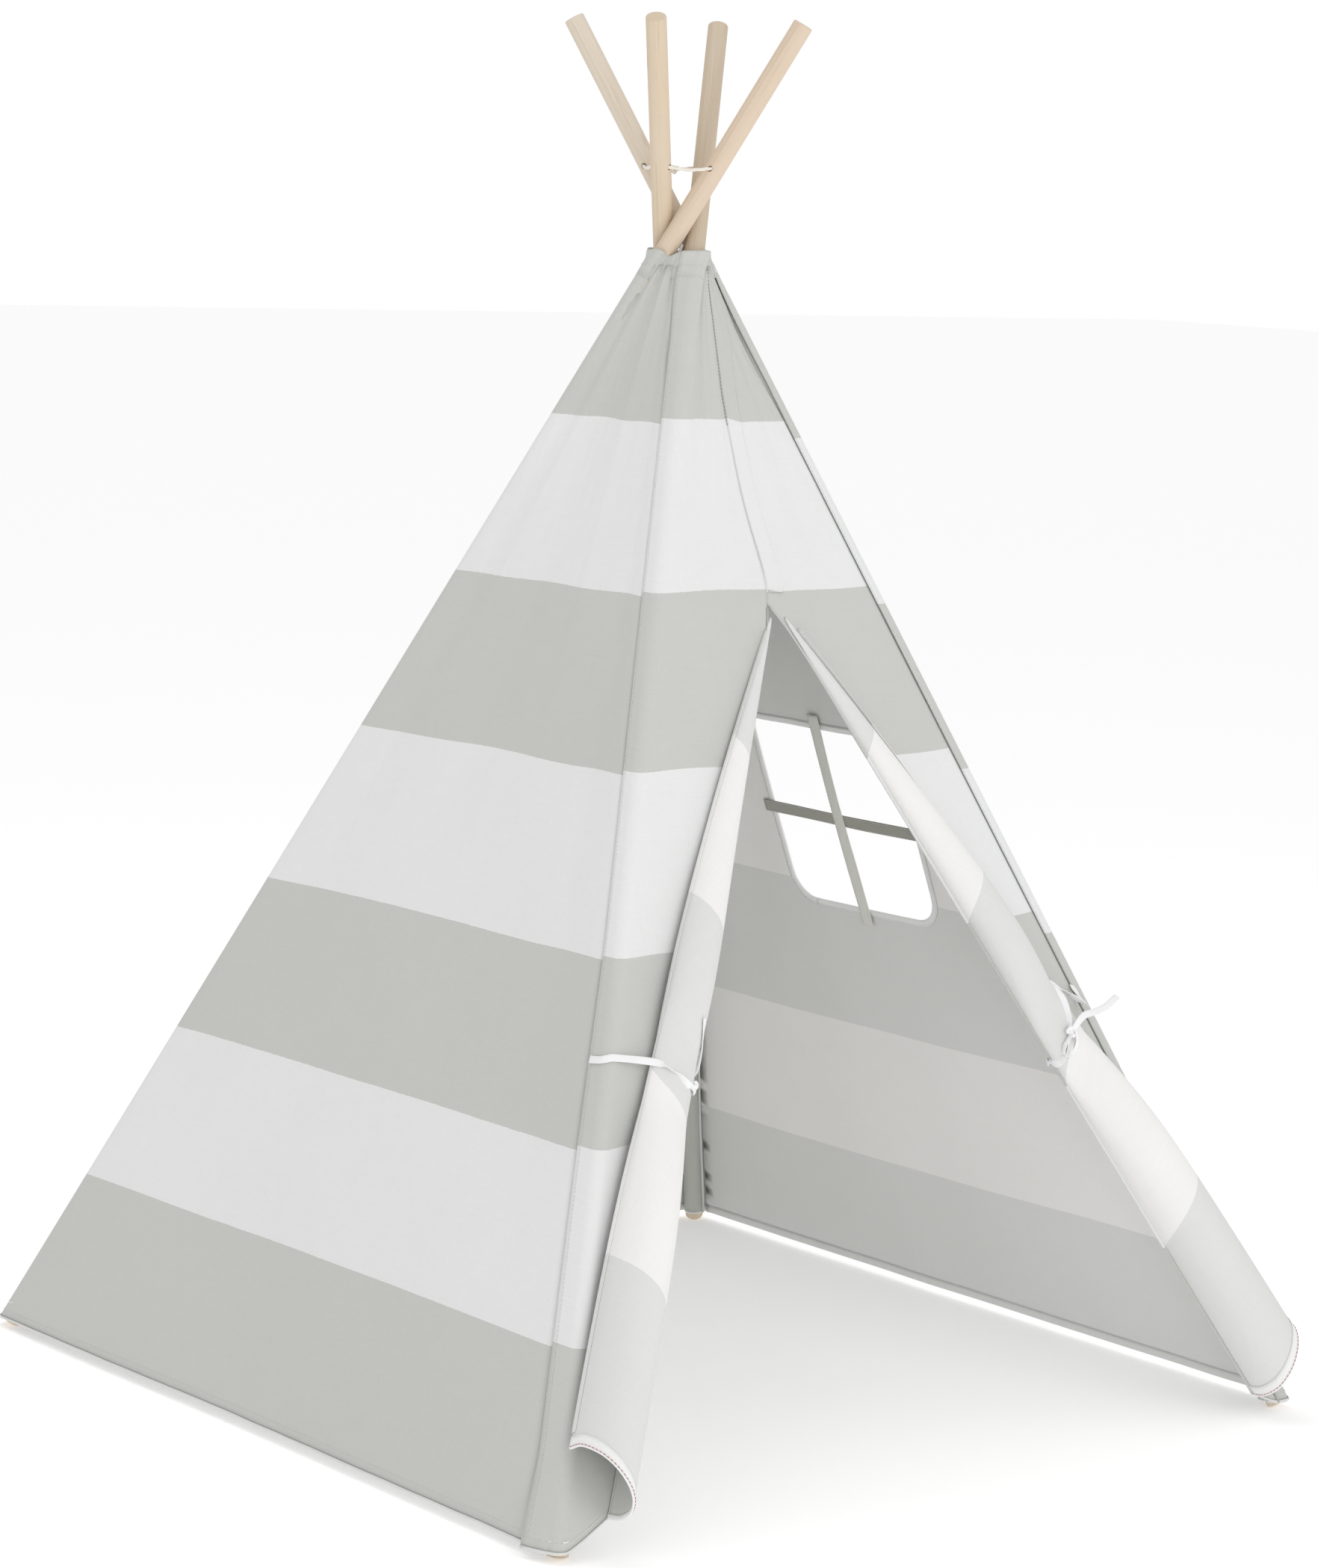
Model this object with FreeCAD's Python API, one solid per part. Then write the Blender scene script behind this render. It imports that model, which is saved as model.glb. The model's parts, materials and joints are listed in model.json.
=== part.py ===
"""Child's teepee tent: four lashed poles, a striped cotton cover and tied-back door flaps.

Millimetres, +Z up, the door faces -Y. The origin is on the floor, under the crossing of the poles.
The tent has fourfold symmetry about +Z, so a pole, a sleeve or a plain cover face is built once, at
the front, and turned by quarter turns.
"""
import FreeCAD, Part
import math
import os

V = FreeCAD.Vector
UP = V(0, 0, 1)

# ---- driving dimensions ------------------------------------------------------------------------
foot_half_spacing = 550.0        # half the side of the square on which the pole feet stand
crossing_height = 1372.0         # height at which the poles pass each other
pole_side_offset = 20.0          # each pole passes the centre line this far to one side
pole_length = 1850.0
pole_radius = 12.0
pole_edge_round = 2.0            # rounded rim of each pole end
lower_section = 925.0            # each pole comes apart into two sections here

ferrule_length = 90.0
ferrule_wall = 0.8
ferrule_play = 0.05

sleeve_play = 1.2                # pole surface to the inside of the fabric sleeve
sleeve_wall = 0.8
sleeve_top = 1290.0
sleeve_foot_gap = {"front_left": 20.0, "front_right": 8.0, "back_right": 12.0, "back_left": 30.0}

cover_inner = 15.0               # pole axis to the inner surface of the cover
cover_wall = 1.6
cover_bottom = 24.0
cover_top = 1331.0
corner_gap = 0.8                 # each face stops this far short of the corner
hem_bottom = 10.0
hem_wall = 2.1
collar_top = 1351.0

door_apex_height = 952.0
door_half_width = 508.0          # half the doorway's width at the floor
door_clearance = 0.6
door_edge_width = 12.0
pleat_width = 26.0
pleat_wall = 1.2

flap_start = 18.4                # flap's distance in front of the pole axes where it starts
flap_wall = 1.6
flap_corner_outward = 37.0       # free corner, outward of the fold's lower end
flap_corner_height = 104.0
flap_bulge = 66.0
flap_hem_width = 13.0
flap_tip_share = 0.05            # the flap is cut off this near to the door's apex

tie_height = 440.0
tie_width = 9.0
tie_wall = 1.0
tie_front = 61.0                 # tape's distance in front of the pole axes
tie_knot_radius = 6.0

window_centre = V(-15.0, 0.0, 654.0)   # along the right face, and height
window_width = 250.0
window_height = 232.0
window_corner = 34.0
binding_width = 7.0
strap_width = 17.0
strap_overlap = 20.0
strap_wall = 1.2

cord_height = 1445.0             # the drilled holes and their cord, above the crossing
cord_radius = 2.0
cord_hole_radius = 3.5
cord_mouth = 16.5                # the cord turns this far from each pole's centre line
cord_turn_radius = 8.0
knot_length = 11.0
knot_radius = 4.6

crown_tape_width = 3.0
crown_tape_wall = 1.0
crown_tape_bottom = 1333.0
crown_tape_top = 1356.0

# ---- places worked out from them ---------------------------------------------------------------
corners = ["front_left", "front_right", "back_right", "back_left"]
faces = ["front", "right", "back", "left"]

slope = math.atan(foot_half_spacing * math.sqrt(2) / crossing_height)
outward = V(-1, -1, 0).normalize()                 # front left pole, seen from above
sideways = UP.cross(outward)
crossing = sideways * pole_side_offset + UP * crossing_height
pole_up = outward * -math.sin(slope) + UP * math.cos(slope)
foot_height = (pole_radius - pole_edge_round) * math.sin(slope) \
    + pole_edge_round * (1 - math.cos(slope))
pole_foot = crossing - pole_up * ((crossing_height - foot_height) / math.cos(slope))

floor_foot = crossing - pole_up * (crossing_height / math.cos(slope))
next_foot = FreeCAD.Rotation(UP, 90).multVec(floor_foot)
face_normal = (next_foot - floor_foot).cross(pole_up).normalize()
level_normal = V(face_normal.x, face_normal.y, 0)
level_share = level_normal.Length
level_normal = level_normal.normalize()
along_face = UP.cross(level_normal)                # to the right, seen from outside
axis_plane = face_normal.dot(floor_foot)


def turned(shape, quarter_turns):
    """A copy turned about the tent's centre line."""
    copy = shape.copy()
    copy.rotate(V(0, 0, 0), UP, 90 * quarter_turns)
    return copy


def half_width(height, standoff):
    """Half the width of a cover face at a height, on a surface in front of the pole axes."""
    return (axis_plane + standoff - face_normal.z * height) / level_share


def on_face(across, height, standoff):
    """A point of the front face, from its place across and up the face."""
    return level_normal * half_width(height, standoff) + along_face * across + UP * height


def sheet(outline, inner, outer):
    """A thin solid on the front face, from an outline of (across, height) points."""
    rings = []
    for standoff in (inner, outer):
        ring = []
        for across, height in outline:
            mitre = half_width(height, standoff) / half_width(height, inner)
            ring.append(on_face(across * mitre, height, standoff))
        rings.append(Part.makePolygon(ring + ring[:1]))
    return Part.makeLoft(rings, True, True)


def band(bottom, top, inner, outer):
    """A sheet over the whole width of the face between two heights."""
    low = half_width(bottom, inner) - corner_gap
    high = half_width(top, inner) - corner_gap
    return sheet([(-low, bottom), (low, bottom), (high, top), (-high, top)], inner, outer)


def rod(start, end, radius):
    """A cylinder between two points."""
    axis = end - start
    return Part.makeCylinder(radius, axis.Length, start, axis)


def tube(start, end, inner, outer):
    """A hollow cylinder between two points."""
    return rod(start, end, outer).cut(rod(start, end, inner))


def export(shape, node):
    """Write one sub-part."""
    shape.exportStep("parts/%s.step" % node)


# ---- poles -------------------------------------------------------------------------------------
def along_pole(distance):
    """A point on the front left pole's centre line, from its foot."""
    return pole_foot + pole_up * distance


def at_height(height):
    """A point on the front left pole's centre line at a height."""
    return crossing + pole_up * ((height - crossing_height) / math.cos(slope))


def rounded_end(shape, end):
    """Round the rim of the pole end at a point."""
    rim = [edge for edge in shape.Edges if (edge.CenterOfMass - end).Length < 0.1]
    return shape.makeFillet(pole_edge_round, rim)


def cord_direction():
    """Level direction in which the cord passes through the front left pole."""
    centre = at_height(cord_height)
    return UP.cross(V(centre.x, centre.y, 0)).normalize()


def lower_pole():
    """Lower section, with a rounded foot."""
    return rounded_end(rod(along_pole(0), along_pole(lower_section), pole_radius), along_pole(0))


def upper_pole():
    """Upper section, with a rounded top and the drilled cord hole."""
    top = along_pole(pole_length)
    section = rounded_end(rod(along_pole(lower_section), top, pole_radius), top)
    reach = cord_direction() * (2 * pole_radius)
    hole = rod(at_height(cord_height) - reach, at_height(cord_height) + reach, cord_hole_radius)
    return section.cut(hole)


def ferrule():
    """Metal tube that joins the two sections."""
    inner = pole_radius + ferrule_play
    start = along_pole(lower_section - ferrule_length / 2)
    end = along_pole(lower_section + ferrule_length / 2)
    return tube(start, end, inner, inner + ferrule_wall)


def sleeve(foot_gap):
    """Fabric sleeve that holds the pole in the corner of the cover."""
    inner = pole_radius + sleeve_play
    return tube(along_pole(foot_gap), at_height(sleeve_top), inner, inner + sleeve_wall)


def make_poles():
    for turns, corner in enumerate(corners):
        export(turned(lower_pole(), turns), "pole_%s_lower" % corner)
        export(turned(upper_pole(), turns), "pole_%s_upper" % corner)
        export(turned(ferrule(), turns), "ferrule_%s" % corner)
        export(turned(sleeve(sleeve_foot_gap[corner]), turns), "sleeve_%s" % corner)


# ---- crown -------------------------------------------------------------------------------------
def cord_corners():
    """Points at which the cord turns: two beside each pole, round the ring."""
    points = []
    for turns in range(4):
        turn = FreeCAD.Rotation(UP, 90 * turns)
        centre = turn.multVec(at_height(cord_height))
        side = turn.multVec(cord_direction()) * cord_mouth
        points += [centre - side, centre + side]
    return points


def rounded_path(points, radius):
    """Straight runs joined by tangent arcs of one radius."""
    edges = []
    start = points[0]
    for before, corner, after in zip(points, points[1:], points[2:]):
        into = (corner - before).normalize()
        out = (after - corner).normalize()
        half_turn = into.getAngle(out) / 2
        setback = radius * math.tan(half_turn)
        arc_start = corner - into * setback
        arc_end = corner + out * setback
        inside = (out - into).normalize()
        middle = corner + inside * (radius / math.cos(half_turn) - radius)
        edges.append(Part.LineSegment(start, arc_start).toShape())
        edges.append(Part.Arc(arc_start, middle, arc_end).toShape())
        start = arc_end
    edges.append(Part.LineSegment(start, points[-1]).toShape())
    return Part.Wire(edges)


def knot_ends():
    """Where the cord meets its knot, on the run between the front poles."""
    ring = cord_corners()
    middle = (ring[1] + ring[2]) * 0.5
    run = (ring[2] - ring[1]).normalize()
    return middle - run * (knot_length / 2), middle + run * (knot_length / 2)


def lashing_cord():
    """Cord through the four drilled holes, from one side of its knot round to the other."""
    ring = cord_corners()
    knot_start, knot_end = knot_ends()
    path = rounded_path([knot_end] + ring[2:] + ring[:2] + [knot_start], cord_turn_radius)
    section = Part.Wire(Part.makeCircle(cord_radius, knot_end, ring[2] - knot_end))
    cord = path.makePipeShell([section], True, True)
    drawn = math.pi * cord_radius ** 2 * path.Length
    print("lashing cord: radius of every turn %.1f mm, volume ratio %.3f"
          % (cord_turn_radius, cord.Volume / drawn))
    return cord


def lashing_knot():
    """Overhand knot that closes the cord's loop: a barrel with a rounded waist at each end."""
    start, end = knot_ends()
    barrel = rod(start, end, knot_radius)
    return barrel.makeFillet(knot_radius - cord_radius - 0.4, barrel.Edges[0:1] + barrel.Edges[2:3])


def collar_hem():
    """Folded hem that rings the poles at the top of the cover."""
    rings = []
    for standoff in (cover_inner, cover_inner + hem_wall):
        level_rings = []
        for height in (cover_top + 1.0, collar_top):
            half = half_width(height, standoff)
            ring = [turned(Part.Vertex(on_face(-half, height, standoff)), turns).Point
                    for turns in range(4)]
            level_rings.append(Part.makePolygon(ring + ring[:1]))
        rings.append(Part.makeLoft(level_rings, True, True))
    return rings[1].cut(rings[0])


def pole_gap(height):
    """Middle of the gap between the back left and front left poles."""
    front = at_height(height)
    return (front + FreeCAD.Rotation(UP, -90).multVec(front)) * 0.5


def crown_tape():
    """Short tape that ties the collar to the crossing, in the gap beside the front left pole."""
    gap_centre = pole_gap(crown_tape_bottom)
    facing = V(gap_centre.x, gap_centre.y, 0).normalize()
    across = UP.cross(facing)
    corner = gap_centre - across * (crown_tape_width / 2) - facing * (crown_tape_wall / 2)
    sides = [across * crown_tape_width, facing * crown_tape_wall]
    outline = [corner, corner + sides[0], corner + sides[0] + sides[1], corner + sides[1]]
    face = Part.Face(Part.makePolygon(outline + outline[:1]))
    return face.extrude(pole_gap(crown_tape_top) - gap_centre)


def make_crown():
    export(lashing_cord(), "lashing_cord")
    export(lashing_knot(), "lashing_knot")
    export(collar_hem(), "collar_hem")
    export(crown_tape(), "crown_tape")


# ---- plain cover faces -------------------------------------------------------------------------
def cover_face():
    return band(cover_bottom, cover_top, cover_inner, cover_inner + cover_wall)


def cover_hem():
    return band(hem_bottom, cover_bottom, cover_inner, cover_inner + hem_wall)


def window_shape(margin, inner, outer):
    """A solid with the window's outline, grown by a margin, rounded at its lower corners."""
    left = window_centre.x - window_width / 2 - margin
    right = window_centre.x + window_width / 2 + margin
    low = window_centre.z - window_height / 2 - margin
    high = window_centre.z + window_height / 2 + margin
    turn = window_corner + margin
    inset = turn * (1 - math.sqrt(0.5))
    rings = []
    for standoff in (inner, outer):
        def at(across, height):
            return on_face(across, height, standoff)
        edges = [
            Part.LineSegment(at(right, low + turn), at(right, high)).toShape(),
            Part.LineSegment(at(right, high), at(left, high)).toShape(),
            Part.LineSegment(at(left, high), at(left, low + turn)).toShape(),
            Part.Arc(at(left, low + turn), at(left + inset, low + inset), at(left + turn, low)).toShape(),
            Part.LineSegment(at(left + turn, low), at(right - turn, low)).toShape(),
            Part.Arc(at(right - turn, low), at(right - inset, low + inset),
                     at(right, low + turn)).toShape(),
        ]
        rings.append(Part.Wire(edges))
    return Part.makeLoft(rings, True, True)


def window_binding():
    """Bias binding round the window, on both surfaces of its edge."""
    inner = cover_inner + cover_wall
    ring = window_shape(binding_width, inner, inner + pleat_wall)
    return ring.cut(window_shape(0, inner - 1, inner + pleat_wall + 1))


def window_strap(upright):
    """One of the two straps that cross the window."""
    inner = cover_inner + cover_wall + pleat_wall
    if upright:
        half_across = strap_width / 2
        half_up = window_height / 2 + strap_overlap
        inner += strap_wall
    else:
        half_across = window_width / 2 + strap_overlap
        half_up = strap_width / 2
    left, right = window_centre.x - half_across, window_centre.x + half_across
    low, high = window_centre.z - half_up, window_centre.z + half_up
    return sheet([(left, low), (right, low), (right, high), (left, high)], inner, inner + strap_wall)


def make_plain_faces():
    for turns, side in enumerate(faces):
        if side == "front":
            continue
        cover = cover_face()
        if side == "right":
            cover = cover.cut(window_shape(0, cover_inner - 1, cover_inner + cover_wall + 1))
            export(turned(window_binding(), turns), "window_binding")
            export(turned(window_strap(True), turns), "window_strap_vertical")
            export(turned(window_strap(False), turns), "window_strap_horizontal")
        export(turned(cover, turns), "cover_%s" % side)
        export(turned(cover_hem(), turns), "hem_%s" % side)


# ---- front face and door -----------------------------------------------------------------------
def fold_across(height):
    """Distance from the door's centre line to its folded edge at a height."""
    return door_half_width * (door_apex_height - height) / door_apex_height


def door_side_sheet(side, bottom, top, wall):
    """Strip of the front face between the corner and the folded edge of the doorway."""
    outline = []
    for height in (bottom, top):
        corner = half_width(height, cover_inner) - corner_gap
        fold = fold_across(height) + door_clearance
        pair = [(side * corner, height), (side * fold, height)]
        outline += pair if height == bottom else pair[::-1]
    return sheet(outline, cover_inner, cover_inner + wall)


def door_edge(side):
    """Stitched facing along the folded edge of the doorway, where the flap turns."""
    low, high = hem_bottom, door_apex_height - 60
    outline = [(side * fold_across(low), low),
               (side * (fold_across(low) - door_edge_width), low),
               (side * (fold_across(high) - door_edge_width), high),
               (side * fold_across(high), high)]
    return sheet(outline, cover_inner, cover_inner + cover_wall)


def flap_section(side, wall):
    """Hem line of a flap: from the fold, out in front, and back to the corner of the tent."""
    across = side * fold_across(hem_bottom)
    start = on_face(across, hem_bottom, flap_start)
    corner_across = across + side * flap_corner_outward
    end = on_face(corner_across, flap_corner_height, flap_start)
    middle = (start + end) * 0.5 + face_normal * flap_bulge
    out_start = start - (end - start).normalize() * wall
    out_end = end + (end - start).normalize() * wall
    out_middle = middle + face_normal * wall
    edges = [Part.Arc(start, middle, end).toShape(),
             Part.LineSegment(end, out_end).toShape(),
             Part.Arc(out_end, out_middle, out_start).toShape(),
             Part.LineSegment(out_start, start).toShape()]
    return Part.Wire(edges)


def door_apex():
    return on_face(0, door_apex_height, flap_start)


def flap_cone(side, wall, low_share, high_share):
    """Part of a flap's cone, between two shares of the way from the door's apex to the hem."""
    rings = []
    for share in (low_share, high_share):
        ring = flap_section(side, wall)
        ring.scale(share, door_apex())
        rings.append(ring)
    return Part.makeLoft(rings, True, True)


def tie_tape(side):
    """Tape from the corner seam, round the flap and the doorway's edge, to the back of the pole."""
    corner = side * (half_width(tie_height, flap_start) + tie_wall)
    fold = side * (fold_across(tie_height) - door_edge_width - 6)
    pole = side * (half_width(tie_height, 0) - 26)
    route = [(corner, flap_start), (corner - side * 12, tie_front), (fold + side * 8, tie_front),
             (fold, cover_inner), (fold, -10), (pole, -22)]
    bottom = tie_height - tie_width / 2
    outline = [on_face(across, bottom, standoff) for across, standoff in route]
    line = Part.makePolygon(outline)
    ribbon = line.makeOffset2D(tie_wall, join=2, fill=True, openResult=True)
    return ribbon.extrude(UP * tie_width)


def tie_knot(side):
    """Knot of the tape, in front of the flap near the doorway's edge."""
    across = side * (fold_across(tie_height) + 18)
    centre = on_face(across, tie_height, tie_front + tie_wall + tie_knot_radius + 1.5)
    return Part.makeSphere(tie_knot_radius, centre)


def make_front():
    top_band = band(door_apex_height, cover_top, cover_inner, cover_inner + cover_wall)
    export(top_band, "cover_front")
    inner = cover_inner + cover_wall
    pleat = sheet([(0, door_apex_height + 20), (pleat_width, door_apex_height + 20),
                   (pleat_width, cover_top), (0, cover_top)], inner, inner + pleat_wall)
    export(pleat, "centre_pleat")
    hem_share = 1 - flap_hem_width / abs(door_apex_height)
    for side, name in ((-1, "left"), (1, "right")):
        export(door_side_sheet(side, cover_bottom, door_apex_height, cover_wall), "door_side_%s" % name)
        export(door_side_sheet(side, hem_bottom, cover_bottom, hem_wall), "door_hem_%s" % name)
        export(door_edge(side), "door_edge_%s" % name)
        export(flap_cone(side, flap_wall, hem_share, flap_tip_share), "flap_%s" % name)
        export(flap_cone(side, flap_wall, 1.0, hem_share), "flap_hem_%s" % name)
        export(tie_tape(side), "tie_%s" % name)
        export(tie_knot(side), "tie_knot_%s" % name)


os.makedirs("parts", exist_ok=True)
make_poles()
make_crown()
make_plain_faces()
make_front()
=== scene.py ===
import json
import math
from functools import partial

import bpy
import numpy as np
from mathutils import Matrix, Vector
from mathutils.geometry import delaunay_2d_cdt


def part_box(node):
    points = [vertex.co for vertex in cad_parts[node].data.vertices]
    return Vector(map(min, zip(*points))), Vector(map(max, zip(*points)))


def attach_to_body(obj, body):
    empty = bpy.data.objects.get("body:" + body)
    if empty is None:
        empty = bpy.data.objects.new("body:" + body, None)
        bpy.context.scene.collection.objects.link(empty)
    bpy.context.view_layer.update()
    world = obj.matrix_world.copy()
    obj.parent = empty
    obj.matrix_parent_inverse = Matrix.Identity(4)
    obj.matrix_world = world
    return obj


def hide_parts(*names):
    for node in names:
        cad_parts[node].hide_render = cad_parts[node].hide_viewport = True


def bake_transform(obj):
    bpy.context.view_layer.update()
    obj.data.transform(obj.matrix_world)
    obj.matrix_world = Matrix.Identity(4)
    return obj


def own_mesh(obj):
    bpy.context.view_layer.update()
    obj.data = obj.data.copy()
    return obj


# The looks of a child's teepee tent around its CAD frame: cover, door flaps, ties, cords, wood.
# Metres, +Z up, the door faces -Y. The tent has fourfold symmetry about +Z, so a cover face is
# worked out at the front and turned by quarter turns.

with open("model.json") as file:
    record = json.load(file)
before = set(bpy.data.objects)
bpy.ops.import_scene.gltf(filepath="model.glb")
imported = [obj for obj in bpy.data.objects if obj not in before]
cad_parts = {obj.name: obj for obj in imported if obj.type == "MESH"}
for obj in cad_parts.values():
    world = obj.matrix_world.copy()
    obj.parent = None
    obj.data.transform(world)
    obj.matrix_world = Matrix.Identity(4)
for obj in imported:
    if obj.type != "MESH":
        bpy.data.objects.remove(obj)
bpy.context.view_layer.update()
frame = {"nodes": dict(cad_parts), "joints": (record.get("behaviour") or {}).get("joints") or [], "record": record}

JOINTS = {joint["name"]: joint for joint in frame["joints"]}
MOUNTS = {mount["name"]: mount for mount in frame["record"]["mounts"]}
CORNERS = ["front_left", "front_right", "back_right", "back_left"]
FACES = ["front", "right", "back", "left"]
UP = np.array([0.0, 0.0, 1.0])

# ---- sizes of the cloth -------------------------------------------------------------------------
WRAP_RADIUS = 0.0150          # pole axis to the cloth that is pulled round it
WRAP_LENGTH = 0.03            # cloth from a face's left seam, round the pole, to its flat part
LAP, TURN = 0.2, 0.8          # shares of that length before the pole and round it
CLOTH = 0.0008                # thickness of the canvas
TAPE = 0.0005                 # thickness of the folded edges
COVER_LOW = 0.0115            # lower edge of the canvas
STRIPE = 0.191                # height of a stripe
STRIPE_TOP = 1.1586           # height of the highest boundary between two stripes
STRIPE_STEP = 0.0055          # how much higher the stripes are on the right of the pleat
FACE_DROP = {"front": 0.0, "right": -0.024, "back": -0.010, "left": -0.006}
FACE_SAG = 0.011              # how far the middle of a face hangs in
HEM_FLARE = 0.011             # how far the hem's corner stands off the front left pole
FOLD_KEEP = 0.11              # share of its width that a face keeps when the tent is folded
SIDES = {"left": -1, "right": 1}


def smooth(low, high, x):
    """0 below low, 1 above high, and a smooth step between them."""
    t = np.clip((np.asarray(x, float) - low) / (high - low), 0, 1)
    return t * t * (3 - 2 * t)


def bump(x, centre, width):
    """A soft bump of height 1."""
    return np.exp(-((np.asarray(x, float) - centre) / width) ** 2)


def ripple(x, y, seed, size):
    """Smooth unevenness from -1 to 1, with features of about that size, the same each time."""
    draws = np.random.RandomState(seed)
    total = np.zeros(np.broadcast(x, y).shape)
    for i in range(7):
        angle, phase = draws.uniform(0, math.tau, 2)
        rate = math.tau / (size * draws.uniform(0.6, 1.8))
        total += np.sin(rate * (x * math.cos(angle) + y * math.sin(angle)) + phase)
    return total / 4.5


def turned(points, quarter_turns):
    """Points turned about the tent's centre line."""
    p = np.array(points, float)
    for _ in range(quarter_turns % 4):
        p = np.stack([-p[..., 1], p[..., 0], p[..., 2]], -1)
    return p


def unit(v):
    return v / np.linalg.norm(v, axis=-1, keepdims=True)


def distances(line):
    """Distance along a line of points to each of them."""
    return np.concatenate([[0], np.cumsum(np.linalg.norm(np.diff(line, axis=0), axis=1))])


def spline(points, count):
    """count points along a smooth curve through the given ones, evenly spaced."""
    p = np.array(points, float)
    p = np.vstack([2 * p[0] - p[1], p, 2 * p[-1] - p[-2]])
    fine = []
    for a, b, c, d in zip(p, p[1:], p[2:], p[3:]):
        t = np.linspace(0, 1, 24, endpoint=False)[:, None]
        fine.append(0.5 * (2 * b + (c - a) * t + (2 * a - 5 * b + 4 * c - d) * t ** 2
                           + (3 * b - a - 3 * c + d) * t ** 3))
    return resampled(np.vstack(fine + [p[-2][None]]), count)


def resampled(points, count):
    """count points evenly spaced along a line of points."""
    along = distances(points)
    wanted = np.linspace(0, along[-1], count)
    return np.stack([np.interp(wanted, along, points[:, i]) for i in range(points.shape[1])], -1)


# ---- the poles and the cover's faces, from the frame --------------------------------------------
pole_top = np.array(MOUNTS["pole_top_front_left"]["pos_m"])
pole_up = np.array(MOUNTS["pole_top_front_left"]["axis"])
pole_out = unit(np.array([-pole_up[0], -pole_up[1]]))       # level, away from the centre
pole_side = np.array([-pole_out[1], pole_out[0]])
lean = pole_up[2]                                             # cosine of the pole's lean
crossing_height = JOINTS["fold"]["pos_m"][2]
face_normal = np.array(JOINTS["fold_door_left"]["axis"])
face_across = np.array(JOINTS["fold_cover_front"]["axis"])
face_across = face_across * np.sign(face_across[0])
face_up = np.cross(face_across, face_normal)
face_up = face_up * np.sign(face_up[2])
door_apex = np.array(JOINTS["flap_left_close"]["pos_m"])
cover_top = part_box("cover_back")[1].z
collar_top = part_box("collar_hem")[1].z


def pole_centre(z, turns=0):
    """A pole's axis at heights z, as points."""
    z = np.asarray(z, float)
    p = pole_top + pole_up * ((z - pole_top[2]) / pole_up[2])[..., None]
    return turned(p, turns)


def wrap(level, other=False):
    """From a pole's axis to the cloth that leaves it facing a level direction."""
    out, side = pole_out, pole_side
    if other:
        out, side = np.array([-out[1], out[0]]), np.array([-side[1], side[0]])
    a, b = level @ side, level @ out
    reach = np.sqrt(a ** 2 + (b / lean) ** 2)[..., None]
    return WRAP_RADIUS * (side * a[..., None] + out * (b / lean ** 2)[..., None]) / reach


def lead(corner, z):
    """How far before its pole the face on the right of a corner starts, by height."""
    if corner % 4 == 0:
        return np.interp(z, [0.01, 0.2, 0.4, 0.6, 1.25, 1.33, 1.36],
                         [0.032, 0.027, 0.021, 0.011, 0.011, 0.016, 0.018])
    return np.interp(z, [0.01, 0.2, 1.2, 1.33, 1.36], [0.012, 0.006, 0.007, 0.014, 0.016])


def seam_gap(z):
    """Width of the dark line between two faces. It opens a little below the collar."""
    return 0.0008 + 0.0016 * bump(z, 1.235, 0.035)


def back_turn(v):
    """Level directions, a quarter turn back."""
    return np.stack([v[..., 1], -v[..., 0]], -1)


def section(z):
    """The poles at the two sides of the front face, and its level directions, at heights z."""
    left = pole_centre(z)[..., :2]
    right = np.stack([-left[..., 1], left[..., 0]], -1)
    across = unit(right - left)
    return left, right, across, back_turn(across)


FOLDS = {  # soft folds that run down a face: place across it, width, depth, height where they end
    "front": [(0.16, 0.05, 0.0035, 0.55), (0.36, 0.07, -0.002, 0.8), (0.80, 0.06, 0.003, 0.5)],
    "right": [(0.12, 0.06, 0.003, 0.5), (0.35, 0.08, 0.002, 0.7), (0.7, 0.09, 0.003, 0.55),
              (0.9, 0.05, 0.003, 0.5)],
    "back": [(0.1, 0.05, 0.003, 0.4), (0.3, 0.1, 0.003, 0.6), (0.62, 0.06, -0.002, 0.75),
             (0.86, 0.05, 0.0035, 0.45)],
    "left": [(0.13, 0.06, 0.003, 0.5), (0.42, 0.09, 0.0025, 0.7), (0.66, 0.05, -0.002, 0.8),
             (0.88, 0.05, 0.003, 0.4)],
}


def sag(face, s, z):
    """How far the cloth hangs inside the straight line between its poles."""
    h = z / crossing_height
    depth = FACE_SAG * 4 * s * (1 - s) * (0.30 + 0.70 * np.sin(np.pi * np.clip(h, 0, 1)))
    for place, width, deep, end in FOLDS[face]:
        wander = 0.015 * np.sin(9 * z + 20 * place)
        depth = depth + deep * bump(s, place + wander, width) * smooth(end - 0.35, end + 0.3, z)
    edge = smooth(0, 0.12, s) * smooth(0, 0.08, 1 - s)
    seed = 11 + FACES.index(face)
    depth = depth + 0.0022 * edge * ripple(s * 1.1, z * 0.5, seed, 0.42)
    depth = depth + 0.0007 * edge * ripple(s * 1.1, z * 0.35, seed + 20, 0.11)
    # slack that gathers in slanted creases close to the poles
    slant = np.sin(95 * z + 60 * s + seed) * smooth(0.1, 0.9, z)
    return depth + 0.0007 * slant * (bump(s, 0.05, 0.04) + bump(s, 0.95, 0.04))


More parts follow.
